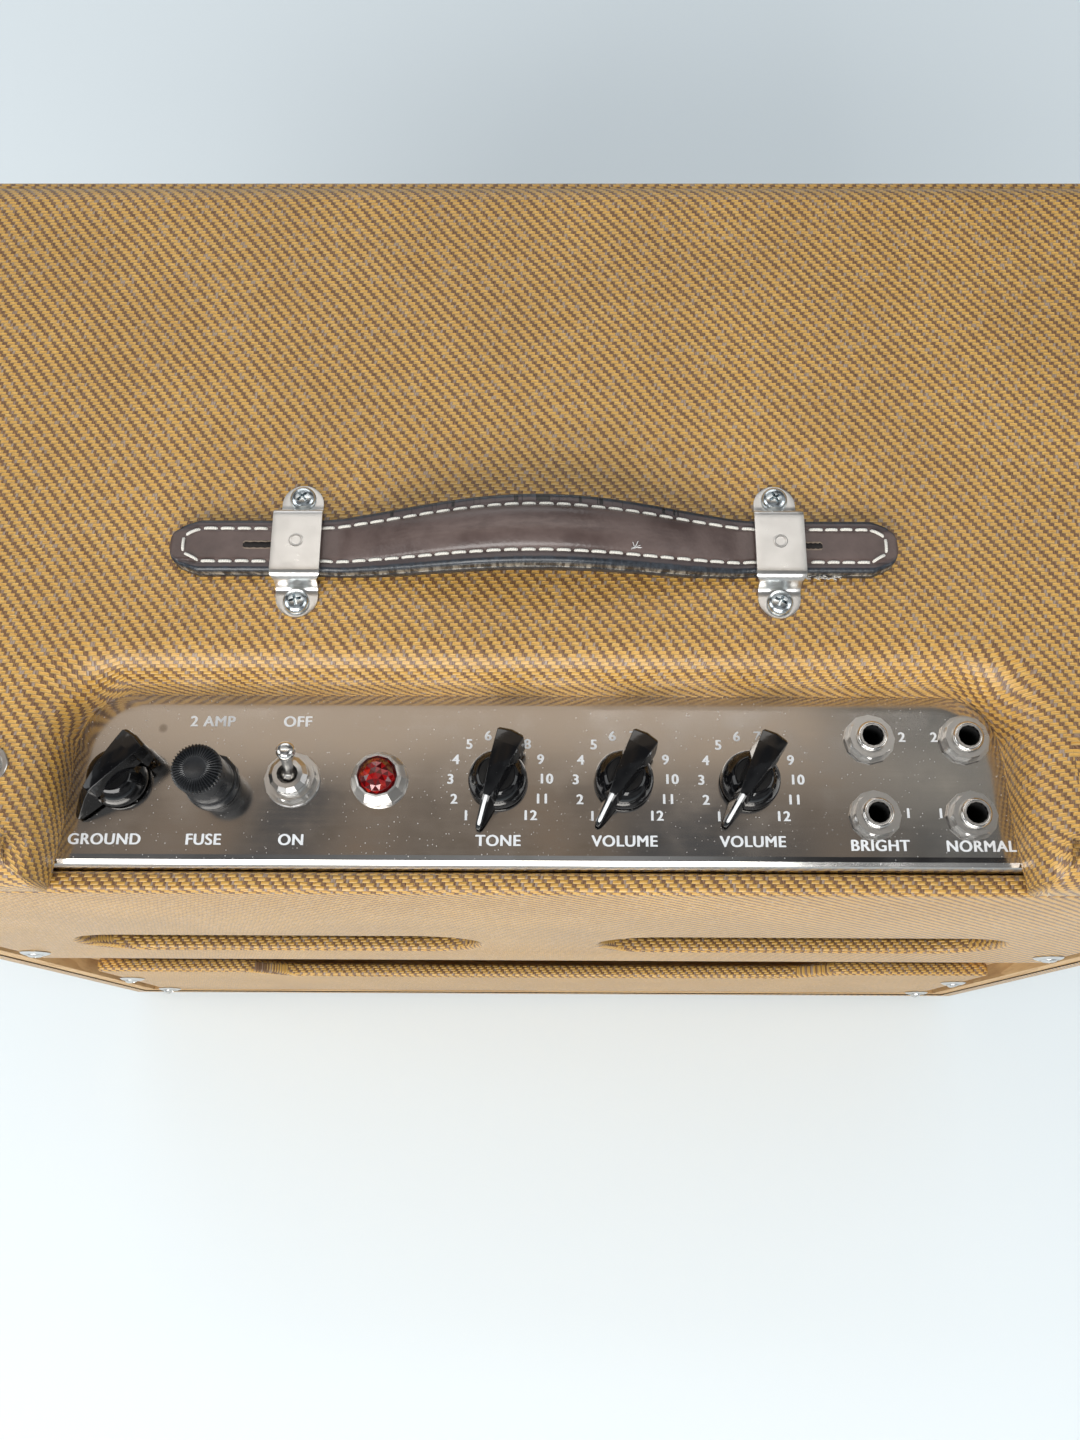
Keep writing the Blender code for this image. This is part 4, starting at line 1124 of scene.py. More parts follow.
def knob_fin():
    # Each station: distance along the pointer, half width at top and bottom, bottom and top height
    stations = [
        (-12.4, 3.3, 3.4, 8.0, 12.8),
        (-12.1, 3.75, 4.0, 5.4, 14.1),
        (-11.4, 4.1, 4.5, 3.6, 14.85),
        (-8.3, 3.7, 4.4, 2.0, 15.05),
        (-8.0, 3.65, 4.4, 7.8, 15.05),
        (-4.0, 3.15, 4.1, 7.8, 15.0),
        (1.5, 2.3, 3.4, 7.8, 14.4),
        (6.5, 1.45, 2.8, 7.8, 13.4),
        (7.9, 1.25, 2.55, 7.8, 12.75),
        (8.2, 1.2, 2.5, 1.3, 12.6),
        (10.6, 1.05, 2.1, 1.3, 10.4),
        (13.6, 0.9, 1.6, 1.3, 6.6),
        (15.8, 0.7, 1.1, 1.3, 3.6),
        (16.6, 0.35, 0.5, 1.4, 2.4),
    ]
    verts = []
    for x, top, bottom, low, high in stations:
        bow = (high - low) * 0.45 + low
        side = (top + bottom) / 2 + 0.12
        ring = [(-bottom, low), (bottom, low), (side, bow), (top, high), (0, high + 0.10 * top)]
        ring += [(-top, high), (-side, bow)]
        bulge = 0.75 if x < -11 else 0.0
        verts += [((x - bulge * (1 - (y / 4.6) ** 2)) * MM, y * MM, z * MM) for y, z in ring]
    faces = grid_faces(len(stations), 7, closed=True)
    faces += [tuple(range(7))[::-1], tuple(range(len(verts) - 7, len(verts)))]
    return mesh_object("knob_fin", verts, faces)


def knob_line():
    """The white line let into the pointer's sloping nose."""
    points = [(7.9, 12.86), (8.2, 12.74), (9.4, 11.7), (10.6, 10.52), (12.1, 8.62), (13.6, 6.72)]
    points += [(15.0, 4.9), (15.6, 4.05)]
    verts = []
    for k, (x, z) in enumerate(points):
        half = 0.5 if 0 < k < len(points) - 1 else 0.3
        verts += [(x * MM, y * MM, (z + lift) * MM) for y, lift in ((-half, 0.02), (0, 0.12), (half, 0.02))]
    return mesh_object("knob_line", verts, grid_faces(len(points), 3))


def knobs():
    """The four knobs share the meshes of three templates, which are removed at the end."""
    white = Net("white_line", Roughness=0.45).speckle(900.0, 3.0, (0.86, 0.86, 0.86), (0.66, 0.66, 0.65))
    base_shape, fin_shape, line_shape = knob_base(), knob_fin(), knob_line()
    for node, (joint, points) in CONTROLS.items():
        body = BODY_OF[joint]
        place = (JOINT_AT[joint], math.radians(points))
        fin = put(object_of(node + "_pointer", fin_shape.data), *place)
        round_edges(fin, 0.32, 4, 32)
        keep(fin, BLACK, body)
        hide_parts(node)
        keep(put(object_of(node + "_base", base_shape.data), *place), BLACK, body)
        if node != "ground_knob":
            line = put(object_of(node + "_line", line_shape.data), *place)
            thicken(line, 0.25)
            keep(line, white, body)
    for shape in (base_shape, fin_shape, line_shape):
        bpy.data.objects.remove(shape)


knobs()

# ---------------------------------------------------------------- fuse, switch, lamp and jacks


def glass_material():
    net = Net("tube_glass", Transmission_Weight=1.0, IOR=1.45)
    smear = net.noise(net.place(), 90.0, 3.0)
    net.set("Base Color", net.mix(net.ramp(smear, 0.4, 0.7), (0.97, 0.98, 0.98), (0.80, 0.83, 0.84)))
    net.set("Roughness", net.ramp(smear, 0.4, 0.75, 0.02, 0.10))
    return net.material


GLASS = glass_material()

FUSE_LINE = middle("fuse_cap")
FUSE_BACK = 1.3 * MM
FUSE_LOWER = 2.4
FUSE_X = FUSE_LINE.x


def fuse_cap():
    """The fluted cap a little behind and below the CAD's, and the carrier and fuse on the joint's line."""
    teeth = 44
    top = (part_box("fuse_cap")[1].z - PANEL_Z) / MM - FUSE_LOWER
    at = (FUSE_X, FUSE_LINE.y + FUSE_BACK, PANEL_Z)
    inside = (FUSE_X, FUSE_LINE.y, PANEL_Z)
    body = "fuse_cap_body"

    def shape(radius, height, angle):
        tooth = 0.5 - 0.5 * math.cos(angle * teeth)
        if radius > 3.4 and height > top - 1.4:
            deep = 0.6 * (1 - tooth) * min(1.0, (radius - 3.3) / 1.5)
            return radius - (deep * 0.9 if radius > 6.6 else 0), height - deep
        return radius, height

    profile = [(0, 3.4), (7.2, 3.4), (7.45, 3.7), (7.45, 6.0), (7.3, 6.3)]
    rim = [(7.3, -3.0), (7.42, -2.4), (7.42, -1.3), (7.25, -0.7), (6.8, -0.2), (6.2, -0.05), (5.2, 0), (4.2, 0)]
    rim += [(3.3, -0.02), (3.0, -0.15), (0, -0.15)]
    profile += [(radius, top + drop) for radius, drop in rim]
    cap = spin("fuse_cap_fluted", profile, teeth * 6, at, BLACK_DULL, 40, body, shape=shape)
    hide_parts("fuse_cap")
    carrier = [(0, 3.5), (3.0, 3.5), (3.0, -8.6), (2.7, -9.0), (0, -9.0)]
    spin("fuse_carrier", carrier, 40, inside, BLACK_DULL, 40, body)
    tube = [(0.5, -13.2), (2.35, -13.2), (2.35, -22.2), (0.5, -22.2), (0.5, -13.2)]
    spin("fuse_glass", tube, 40, inside, GLASS, 40, body)
    for tag, high, low in (("upper", -9.1, -13.1), ("lower", -22.3, -27.6)):
        end = [(0, high), (2.5, high), (2.5, low), (2.2, low - 0.3), (0, low - 0.3)]
        spin("fuse_end_" + tag, end, 40, inside, NICKEL, 40, body)
    rings = [(6.4, 0.2), (8.1, 0.2), (8.2, 0.5), (8.2, 1.4), (7.9, 1.8), (7.9, 2.1), (7.75, 2.3), (7.75, 3.0)]
    rings += [(7.5, 3.2), (6.4, 3.2), (6.4, 0.2)]
    spin("fuse_holder_ring", rings, 72, at, BLACK_DULL, 40)


fuse_cap()
bare("fuse_holder", BLACK_DULL)

SWITCH = JOINT_AT["switch_toggle"]
LEVER_LEAN = math.radians(12.5)
LEVER_SIDEWAYS = -0.12


def toggle():
    at = (SWITCH.x, SWITCH.y, PANEL_Z)
    keep(put(flat_ring("toggle_washer", 6.1, 8.5, 0.05, 0.85), at), STEEL, "cabinet")
    keep(put(hex_ring("toggle_nut", 6.5, 6.0, 0.9, 2.9), at, 0.25), NICKEL, "cabinet", 20)
    thread = [(6.0, 0.1)]
    for k in range(7):
        thread += [(5.95, min(0.6 + k, 6.4)), (5.65, min(1.1 + k, 6.4))]
    thread += [(5.75, 6.7), (5.4, 7.0), (3.7, 7.0), (3.3, 6.6), (3.1, 5.4), (3.1, 3.0)]
    spin("toggle_bushing", thread, 64, at, NICKEL, 50)
    bat = [(0, -1.2), (1.6, -1.0), (2.3, 0.3), (2.55, 1.4), (2.3, 2.6), (1.75, 3.4), (1.55, 4.2), (1.55, 6.0)]
    bat += [(1.75, 9.5), (2.1, 12.5), (2.6, 15.0), (2.8, 16.0), (2.7, 16.9), (2.2, 17.6), (1.2, 18.0), (0, 18.1)]
    lean = (LEVER_LEAN, LEVER_SIDEWAYS, 0)
    lever = spin("toggle_bat", bat, 48, SWITCH, BRIGHT, 60, "toggle_lever", tilt=lean)
    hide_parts("switch_lever")
    bare("power_switch", NICKEL)


toggle()

LAMP = middle("pilot_jewel")
JEWEL_TOP = (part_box("pilot_jewel")[1].z - PANEL_Z) / MM


def pilot_lamp():
    at = (LAMP.x, LAMP.y, PANEL_Z)
    rim = [(5.6, 0.1), (8.5, 0.1), (8.7, 0.35), (8.7, 0.8), (8.5, 1.2), (8.1, 1.5), (7.75, 1.6), (7.6, 1.9)]
    rim += [(7.5, 2.6), (7.2, 3.5), (6.8, 4.3), (6.65, 4.5), (6.6, 5.0), (6.4, 5.35), (6.05, 5.45), (5.8, 5.2)]
    rim += [(5.75, 4.2), (5.6, 0.1)]
    spin("pilot_rim", rim, 96, at, SATIN, 40)
    bare("pilot_bezel", SATIN)
    # Each ring of facet corners: radius, height, number of corners, turn as a share of one facet
    rings = [(5.6, 3.2, 14, 0.0), (5.72, 5.3, 14, 0.5), (5.1, JEWEL_TOP - 2.3, 14, 0.0)]
    rings += [(3.7, JEWEL_TOP - 1.05, 14, 0.5), (2.0, JEWEL_TOP - 0.3, 7, 0.25), (0.0, JEWEL_TOP, 1, 0.0)]
    bm = bmesh.new()
    for radius, height, number, shift in rings:
        for k in range(number):
            a = 2 * math.pi * (k + shift) / number
            bm.verts.new((radius * math.cos(a) * MM, radius * math.sin(a) * MM, height * MM))
    bmesh.ops.convex_hull(bm, input=bm.verts)
    data = bpy.data.meshes.new("pilot_facets")
    bm.to_mesh(data)
    bm.free()
    jewel = object_of("pilot_facets", data)
    glass = Net("red_glass", Roughness=0.02, Transmission_Weight=0.55, IOR=1.52)
    glass.set("Coat Weight", 1.0)
    glass.set("Coat Roughness", 0.02)
    # Painted reflection: each facet gets its own red, from dark to bright
    facet = glass.split(glass.node("ShaderNodeNewGeometry", out="Normal"))
    pick = glass.chance(glass.join(*[(part * 40.0).floor() for part in facet]))
    deep = glass.mix(glass.ramp(pick, 0.35, 1.0), (0.10, 0.001, 0.003), (0.62, 0.012, 0.012))
    glass.set("Base Color", deep)
    # Painted glints: small orange-red spots that glow on the brighter facets
    painted_glint = glass.ramp(glass.noise(glass.place(), 260.0, 2.0), 0.55, 0.66) * glass.ramp(pick, 0.4, 0.9)
    glass.set("Emission Color", glass.mix(painted_glint, (0.05, 0.0, 0.0), (1.0, 0.10, 0.03)))
    glass.set("Emission Strength", 0.22)
    put(jewel, at)
    keep(jewel, glass.material, "cabinet", None)
    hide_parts("pilot_jewel")


pilot_lamp()

# Painted shade: a near-black lining down each jack's bore
BORE_SHADE = Net("jack_inside", Roughness=0.5).speckle(300.0, 2.0, (0.006, 0.006, 0.006), (0.02, 0.02, 0.02))
NUT_TURNS = (0.22, 0.42, 0.1, 0.55)
JACKS = {n: middle(n) for n in ("jack_bright_1", "jack_bright_2", "jack_normal_1", "jack_normal_2")}
for turn, (node, spot) in zip(NUT_TURNS, JACKS.items()):
    at = (spot.x, (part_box(node)[0].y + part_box(node)[1].y) / 2, PANEL_Z)
    keep(put(flat_ring(node + "_washer", 4.9, 7.45, 0.05, 0.75), at), STEEL, "cabinet")
    keep(put(hex_ring(node + "_nut", 5.95, 4.85, 0.8, 2.6), at, turn), NICKEL, "cabinet", 20)
    lip = [(4.75, 0.5), (4.75, 2.4), (4.6, 2.7), (4.75, 3.0), (4.6, 3.3), (4.75, 3.6), (4.7, 4.3)]
    lip += [(4.5, 4.95), (4.15, 5.22), (3.7, 5.26), (3.4, 5.05), (3.22, 4.6), (3.18, 3.9)]
    spin(node + "_lip", lip, 64, at, BRIGHT, 60)
    spin(node + "_well", [(3.19, 4.2), (3.12, 3.4), (3.12, -14), (0, -14)], 48, at, BORE_SHADE)
    bare(node, NICKEL)

# ---------------------------------------------------------------- lettering

INK = Net("ink", Roughness=0.5).speckle(400.0, 3.0, (0.80, 0.81, 0.82), (0.62, 0.63, 0.64))


# Moves, in mm, of the copies that make each letter bolder
BOLDER = ((0.16, 0.0, 0.004), (-0.16, 0.0, 0.008), (0.0, 0.09, 0.012))


def label(name, text, x, y, size=4.75):
    data = bpy.data.curves.new(name, "FONT")
    data.body = text
    data.size = size * MM
    data.align_x = "CENTER"
    data.align_y = "CENTER"
    data.extrude = 0.02 * MM
    data.space_character = 1.09
    shape = object_of("label_shape", data)
    bpy.context.view_layer.update()
    mesh = evaluated_mesh(shape)
    bpy.data.objects.remove(shape)
    bm = bmesh.new()
    bm.from_mesh(mesh)
    for move in BOLDER:
        first = bm.verts[:len(mesh.vertices)] + bm.edges[:len(mesh.edges)] + bm.faces[:len(mesh.polygons)]
        copy = bmesh.ops.duplicate(bm, geom=first)
        fresh = [v for v in copy["geom"] if isinstance(v, bmesh.types.BMVert)]
        bmesh.ops.translate(bm, verts=fresh, vec=Vector(move) * MM)
    bm.to_mesh(mesh)
    bm.free()
    obj = object_of("label_" + name, mesh)
    put(obj, (x, y, PANEL_Z + 0.04 * MM), math.pi)
    keep(obj, INK, "cabinet", None)


def panel_labels():
    front, rear = -18.4 * MM, 18.6 * MM
    row = SWITCH.y
    tone, one, two = (JOINT_AT[j].x for j in ("tone_turn", "volume_1_turn", "volume_2_turn"))
    ground = JOINT_AT["ground_knob_turn"].x
    bright, normal = JACKS["jack_bright_1"].x, JACKS["jack_normal_1"].x
    label("ground", "GROUND", ground + 2.8 * MM, row + rear)
    label("fuse", "FUSE", FUSE_X + 1.5 * MM, row + rear)
    label("on", "ON", SWITCH.x - 0.7 * MM, row + rear)
    label("fuse_value", "2 AMP", FUSE_X + 1.7 * MM, row + front)
    label("off", "OFF", SWITCH.x - 0.4 * MM, row + front)
    label("tone", "TONE", tone - 0.3 * MM, row + rear)
    label("volume_1", "VOLUME", one - 0.1 * MM, row + rear)
    label("volume_2", "VOLUME", two - 0.3 * MM, row + rear)
    label("bright", "BRIGHT", bright - 0.9 * MM, row + rear + 1.0 * MM)
    label("normal", "NORMAL", normal - 1.9 * MM, row + rear + 1.1 * MM)
    for pair, x in (("bright", bright - 10.1 * MM), ("normal", normal + 9.1 * MM)):
        for number in "12":
            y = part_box(f"jack_{pair}_{number}")[0].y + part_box(f"jack_{pair}_{number}")[1].y
            label(f"{pair}_{number}", number, x, y / 2 - 0.7 * MM, 4.3)
    for name, x in (("tone", tone), ("volume_1", one), ("volume_2", two)):
        for k in range(12):
            angle = math.radians(229 - 25.2 * k)
            reach = 14.5 * MM
            across, back = math.cos(angle) * reach, math.sin(angle) * reach
            label(f"{name}_dial_{k + 1}", str(k + 1), x - across, row - back, 4.3)


panel_labels()

# ---------------------------------------------------------------- bolts and panel screws

BOLT_Y = 0.0874
for side in (1, -1):
    tag = "right" if side > 0 else "left"
    bolt_x = 0.158 if side > 0 else -0.1615
    washer = flat_ring("bolt_washer_" + tag, 2.4, 5.6, 0.5, 1.2)
    keep(put(washer, (bolt_x, BOLT_Y, TOP_Z)), NICKEL, "cabinet")
    screw("bolt_head_" + tag, (bolt_x, BOLT_Y, TOP_Z + 1.2 * MM), NICKEL, 0.9)
    for k, drop in enumerate((0.171, 0.298, 0.365)):
        at = (side * 0.2185, REAR_Y, PANEL_Z - drop)
        ring = [(3.4, 0.1), (6.3, 0.1), (6.4, 0.35), (5.6, 0.9), (4.5, 1.3), (4.0, 1.2), (3.4, 0.1)]
        cup = lathe(f"cup_washer_{tag}_{k}", ring, 48)
        keep(put(cup, at, tilt=(-math.pi / 2, 0, 0)), NICKEL, "cabinet")
        screw(f"panel_screw_{tag}_{k}", at, NICKEL, tilt=(-math.pi / 2, 0, 0.3 * k), size=0.95)

# ---------------------------------------------------------------- inside and underneath

BAKELITE = plastic_material("brown_phenolic", (0.075, 0.028, 0.014), 0.30)
RUBBER = plastic_material("rubber", (0.018, 0.018, 0.019), 0.62)
GLIDE = metal_material("glide_steel", (0.60, 0.58, 0.55), 0.30, 0.10)
IRON = plastic_material("black_iron", (0.022, 0.022, 0.024), 0.42)


def plates_material():
    net = Net("core_plates", Metallic=0.8, Roughness=0.5)
    _, y, _ = net.split(net.place())
    plate = dome(net, (y * (1 / (0.5 * MM))).part())
    rust = net.noise(net.place(), 120.0, 4.0, 0.65)
    iron = net.mix(net.ramp(rust, 0.5, 0.72), (0.16, 0.155, 0.15), (0.16, 0.075, 0.035))
    net.set("Base Color", net.mix(net.ramp(plate, 0.0, 0.7), (0.03, 0.03, 0.03), iron))
    net.bump(plate, 0.6, 0.3 * MM)
    return net.material


def core(node, low_y, high_y):
    """The plates of a transformer, standing just proud of the iron the CAD gives it."""
    low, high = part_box(node)
    grow = 0.3 * MM
    verts, faces = [], []
    ring = [(low.x - grow, low.z - grow), (high.x + grow, low.z - grow)]
    ring += [(high.x + grow, high.z + grow), (low.x - grow, high.z + grow)]
    for y in (low_y, high_y):
        verts += [(x, y, z) for x, z in ring]
    faces = grid_faces(2, 4, closed=True) + [(0, 1, 2, 3), (7, 6, 5, 4)]
    obj = mesh_object(node + "_plates", verts, faces)
    modifier(obj, "BEVEL", width=0.6 * MM, segments=2)
    keep(obj, PLATES, "cabinet")
    for k, (x, z) in enumerate(ring):
        out_x = x + math.copysign(2.2 * MM, (low.x + high.x) / 2 - x)
        out_z = z + math.copysign(2.2 * MM, (low.z + high.z) / 2 - z)
        at = (out_x, low_y - 0.4 * MM, out_z)
        screw(f"{node}_bolt_{k}", at, ZINC, tilt=(math.pi / 2, 0, 0), size=0.5)


PLATES = plates_material()
for node in ("power_transformer", "output_transformer"):
    bare(node, IRON)
core("power_transformer", 13.7 * MM, 30.3 * MM)
core("output_transformer", 23.7 * MM, 38.3 * MM)
for node in ("pot_tone", "pot_volume_1", "pot_volume_2", "ground_switch"):
    bare(node, ZINC)
for node in nodes:
    if node.startswith("glide_"):
        bare(node, GLIDE)
bare("cord_grommet", RUBBER)
bare("speaker_lead", RUBBER)


def board_material():
    net = Net("fibre_board", Roughness=0.6)
    where = net.place()
    speckle = net.noise(where, 900.0, 3.0, 0.7)
    cloud = net.noise(where, 60.0, 3.0)
    base = net.mix(net.ramp(speckle, 0.4, 0.65), (0.020, 0.019, 0.018), (0.055, 0.050, 0.045))
    net.set("Base Color", net.mix(net.ramp(cloud, 0.4, 0.7, 0.0, 0.4), base, (0.08, 0.07, 0.06)))
    net.bump(speckle, 0.2, 0.2 * MM)
    return net.material


def banded_material(name, body, bands):
    """A component whose coloured bands lie across its length."""
    net = Net(name, Roughness=0.38, Coat_Weight=0.2)
    u, _ = net.uv()
    colour = net.mix(net.noise(net.place(), 400.0, 2.0), body, tuple(c * 0.7 for c in body))
    for centre, tone in bands:
        colour = net.mix(net.ramp((u - centre).abs(), 0.5, 0.6, 1.0, 0.0), colour, tone)
    net.set("Base Color", colour)
    net.bump(net.noise(net.place(), 300.0, 2.0), 0.1, 0.2 * MM)
    return net.material


bare("circuit_board", board_material())
BOARD_LOW, BOARD_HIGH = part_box("circuit_board")
YELLOW = banded_material("yellow_capacitor", (0.62, 0.42, 0.06), [(3.0, (0.1, 0.1, 0.1))])
BANDS = [(2.4, (0.5, 0.03, 0.02)), (4.4, (0.35, 0.02, 0.4)), (6.4, (0.6, 0.35, 0.02))]
CARBON = banded_material("carbon_resistor", (0.26, 0.13, 0.06), BANDS)
FILTER = banded_material("filter_capacitor", (0.16, 0.20, 0.30), [(4.0, (0.01, 0.01, 0.01))])


def component(name, x, z, long, radius, material, wire=9.0):
    """A round part standing across the board, its wires running to the eyelets."""
    y = BOARD_HIGH.y + radius * MM + 0.3 * MM
    half = long / 2
    body = [(x, y, z + (k - half) * MM) for k in np.linspace(0, long, 12)]
    shape = tube_mesh(name, [body], radius * MM, 20)
    modifier(shape, "BEVEL", width=0.5 * MM, segments=2, limit_method="ANGLE", angle_limit=math.radians(50))
    keep(shape, material, "cabinet", 50)
    ends = []
    for sign in (1, -1):
        start = half * sign
        run = [(x, y, z + (start + sign * d) * MM) for d in (0, 2.5)]
        run += [(x, BOARD_HIGH.y + 0.3 * MM, z + (start + sign * (wire * 0.45)) * MM)]
        ends.append(run)
    keep(tube_mesh(name + "_wires", ends, 0.4 * MM, 8), ZINC, "cabinet", 60)


board_z = (BOARD_LOW.z + BOARD_HIGH.z) / 2
for k in range(22):
    x = BOARD_LOW.x + 20 * MM + k * 9.6 * MM
    if k % 7 == 3:
        component(f"capacitor_{k}", x, board_z, 24, 4.4, YELLOW)
    elif k % 11 == 8:
        component(f"filter_{k}", x, board_z, 30, 5.0, FILTER)
    elif k % 7 != 4 and k % 11 != 9:
        component(f"resistor_{k}", x, board_z + (k % 3 - 1) * 5 * MM, 9.5, 2.1, CARBON, 12)


GETTER = metal_material("getter_film", (0.60, 0.58, 0.56), 0.10, 0.02)
PLATE_GREY = metal_material("plate_grey", (0.10, 0.10, 0.105), 0.55, 0.15)
MICA = Net("mica", Roughness=0.25, Transmission_Weight=0.3).speckle(200.0, 2.0, (0.75, 0.70, 0.62), (0.6, 0.55, 0.46))
TUBE_SHAPES = {
    "rectifier": [
        (0.4, -24), (13.5, -24.5), (16, -28), (18.6, -36), (19.6, -52), (19.5, -70), (18, -80), (14.5, -88),
        (8, -93), (0.4, -95),
    ],
    "power": [
        (0.4, -24), (12.5, -24.5), (14.5, -28), (15.7, -34), (15.8, -60), (14.5, -67), (10, -74), (4, -77.4),
        (0.4, -78),
    ],
    "preamp": [
        (0.4, -1.5), (9.0, -1.5), (9.8, -3), (9.8, -40), (8.8, -43), (6.5, -46), (2.5, -47.5), (1.5, -49),
        (0.4, -49),
    ],
}


def tube_inside(node, kind):
    low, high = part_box(node)
    centre = Vector(((low.x + high.x) / 2, (low.y + high.y) / 2, high.z))
    glass = lathe(node + "_glass", TUBE_SHAPES[kind], 48)
    modifier(glass, "SOLIDIFY", thickness=0.8 * MM, offset=-1)
    keep(put(glass, centre), GLASS, "cabinet", 60)
    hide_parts(node)
    if kind != "preamp":
        wide = 16.0 if kind == "rectifier" else 14.5
        base = [(0, 0), (wide - 0.5, 0), (wide, -0.6), (wide, -19.5), (wide - 1, -22), (wide - 2.2, -24.3), (0, -24.3)]
        keep(put(lathe(node + "_base", base, 48), centre), BLACK_DULL, "cabinet", 40)
    top, bottom = {"rectifier": (-36, -76), "power": (-32, -62), "preamp": (-8, -36)}[kind]
    wide, deep = {"rectifier": (9, 5), "power": (8.5, 6), "preamp": (5.4, 3.4)}[kind]
    ring = [(wide * math.cos(a), deep * math.sin(a)) for a in np.linspace(0, 2 * math.pi, 33)[:-1]]
    verts = [(x * MM, y * MM, z * MM) for z in np.linspace(top, bottom, 9) for x, y in ring]
    plate = mesh_object(node + "_plate", verts, grid_faces(9, 32, closed=True))
    modifier(plate, "SOLIDIFY", thickness=0.4 * MM, offset=-1)
    keep(put(plate, centre), PLATE_GREY, "cabinet", 60)
    radius = TUBE_SHAPES[kind][3][0] - 2.2
    for tag, z in (("upper", top + 1.2), ("lower", bottom - 1.2)):
        disc = lathe(f"{node}_mica_{tag}", [(0, z), (radius, z), (radius, z - 0.4), (0, z - 0.4)], 24)
        keep(put(disc, centre), MICA, "cabinet", 40)
    posts = []
    for offset in (wide * 0.8 * MM, -wide * 0.8 * MM):
        posts.append([(centre.x + offset, centre.y, centre.z + z * MM) for z in (top + 3, bottom - 3)])
    keep(tube_mesh(node + "_posts", posts, 0.5 * MM, 10), ZINC, "cabinet", 60)
    high, low = bottom - 5, bottom - 5.6
    film = lathe(node + "_getter", [(3.0, high), (4.5, high), (4.5, low), (3.0, low), (3.0, high)], 32)
    keep(put(film, centre), GETTER, "cabinet", 40)


for node in list(nodes):
    if node.startswith("tube_socket_"):
        bare(node, BAKELITE)
    elif node.startswith("tube_"):
        tube_inside(node, next(kind for kind in TUBE_SHAPES if kind in node))

# ---------------------------------------------------------------- loudspeaker

CONE_LOW, CONE_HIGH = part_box("speaker_cone")
SPEAKER_AT = Vector((0, CONE_LOW.y, (CONE_LOW.z + CONE_HIGH.z) / 2))


def paper_material():
    net = Net("cone_paper", Roughness=0.85, Sheen_Weight=0.25)
    where = net.place()
    x, _, z = net.split(where)
    radius = ((x - SPEAKER_AT.x).power(2.0) + (z - SPEAKER_AT.z).power(2.0)).power(0.5)
    fibre = net.noise(where, 700.0, 4.0, 0.7)
    cloud = net.noise(where, 40.0, 3.0)
    ribs = net.ramp(((radius * (1 / (11 * MM))).part() - 0.5).abs(), 0.02, 0.10, 1.0, 0.0)
    base = net.mix(net.ramp(cloud, 0.35, 0.7), (0.040, 0.035, 0.030), (0.075, 0.065, 0.054))
    net.set("Base Color", net.mix(net.ramp(fibre, 0.5, 0.75, 0.0, 0.4), base, (0.16, 0.14, 0.11)))
    net.bump(fibre * 0.3 + ribs * 1.0, 0.5, 0.6 * MM)
    return net.material


PAPER = paper_material()
bare("speaker_cone", PAPER)
bare("speaker_basket", ZINC)
bare("speaker_magnet", IRON)


def speaker_pieces():
    turned = (-math.pi / 2, 0, 0)
    rim_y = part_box("speaker_basket")[0].y
    roll = []
    for k, radius in enumerate(np.linspace(119, 131.5, 19)):
        roll.append((radius, 8.7 + 1.3 * math.sin(2 * math.pi * k / 6)))
    surround = lathe("speaker_surround", roll, 96)
    modifier(surround, "SOLIDIFY", thickness=0.6 * MM, offset=1)
    keep(put(surround, (0, rim_y, SPEAKER_AT.z), tilt=turned), PAPER, "cone_body", 60)
    ring = lathe("basket_gasket", [(134.5, -0.25), (152, -0.25), (152, 0.0), (134.5, 0.0), (134.5, -0.25)], 96)
    keep(put(ring, (0, rim_y, SPEAKER_AT.z), tilt=turned), FIBRE, "cabinet")
    for k in range(8):
        a = math.radians(22.5 + 45 * k)
        at = (143.5 * MM * math.cos(a), rim_y + 1.6 * MM, SPEAKER_AT.z + 143.5 * MM * math.sin(a))
        screw(f"speaker_screw_{k}", at, ZINC, tilt=(-math.pi / 2, 0, 0.4 * k))
    label_ring = lathe("magnet_band", [(43.1, 77), (43.35, 77.2), (43.35, 94.0), (43.1, 94.4)], 64)
    modifier(label_ring, "SOLIDIFY", thickness=0.2 * MM, offset=1)
    keep(put(label_ring, (0, rim_y, SPEAKER_AT.z), tilt=turned), STEEL, "cabinet", 60)
    end = Vector((-74.2 * MM, -50.6 * MM, SPEAKER_AT.z + 74.2 * MM))
    for k, side in enumerate((-1, 1)):
        tag = [[tuple(end + Vector((side * 3.2 * MM, y * MM, 0))) for y in (-3.5, 0, 5)]]
        keep(tube_mesh(f"speaker_terminal_{k}", tag, 1.1 * MM, 12), NICKEL, "cabinet", 60)


FIBRE = board_material()
speaker_pieces()

# ---------------------------------------------------------------- grille cloth


def grille_material():
    """A woven cloth of brown and gold yarn, with a darker stripe every 12 mm."""
    net = Net("grille_cloth", Roughness=0.8, Sheen_Weight=0.3)
    u, v = net.uv()
    across, over = u * (1 / 1.4), v * (1 / 1.4)
    check = ((across.floor() + over.floor()) * 0.5).part() * 2.0
    warp = dome(net, across.part()) * check
    weft = dome(net, over.part()) * (check * -1.0 + 1.0)
    fibre = net.noise(net.join(u * 4.0, v * 4.0), 1.0, 3.0, 0.6)
    stripe = net.ramp(((u * (1 / 12.0)).part() - 0.5).abs(), 0.36, 0.40)
    gold = net.mix(net.ramp(fibre, 0.35, 0.7), (0.24, 0.095, 0.050), (0.42, 0.20, 0.105))
    brown = net.mix(net.ramp(fibre, 0.35, 0.7), (0.055, 0.018, 0.014), (0.14, 0.050, 0.036))
    yarn = net.mix(check * (stripe * -1.0 + 1.0), brown, gold)
    # Painted shade: the yarn darkens where it dips low between crossings
    depth = net.ramp(warp + weft, 0.0, 0.8, 0.25, 1.0)
    net.set("Base Color", net.mix(1.0, yarn, net.join(depth, depth, depth), "MULTIPLY"))
    net.bump(warp + weft + fibre * 0.2, 0.8, 0.5 * MM)
    return net.material


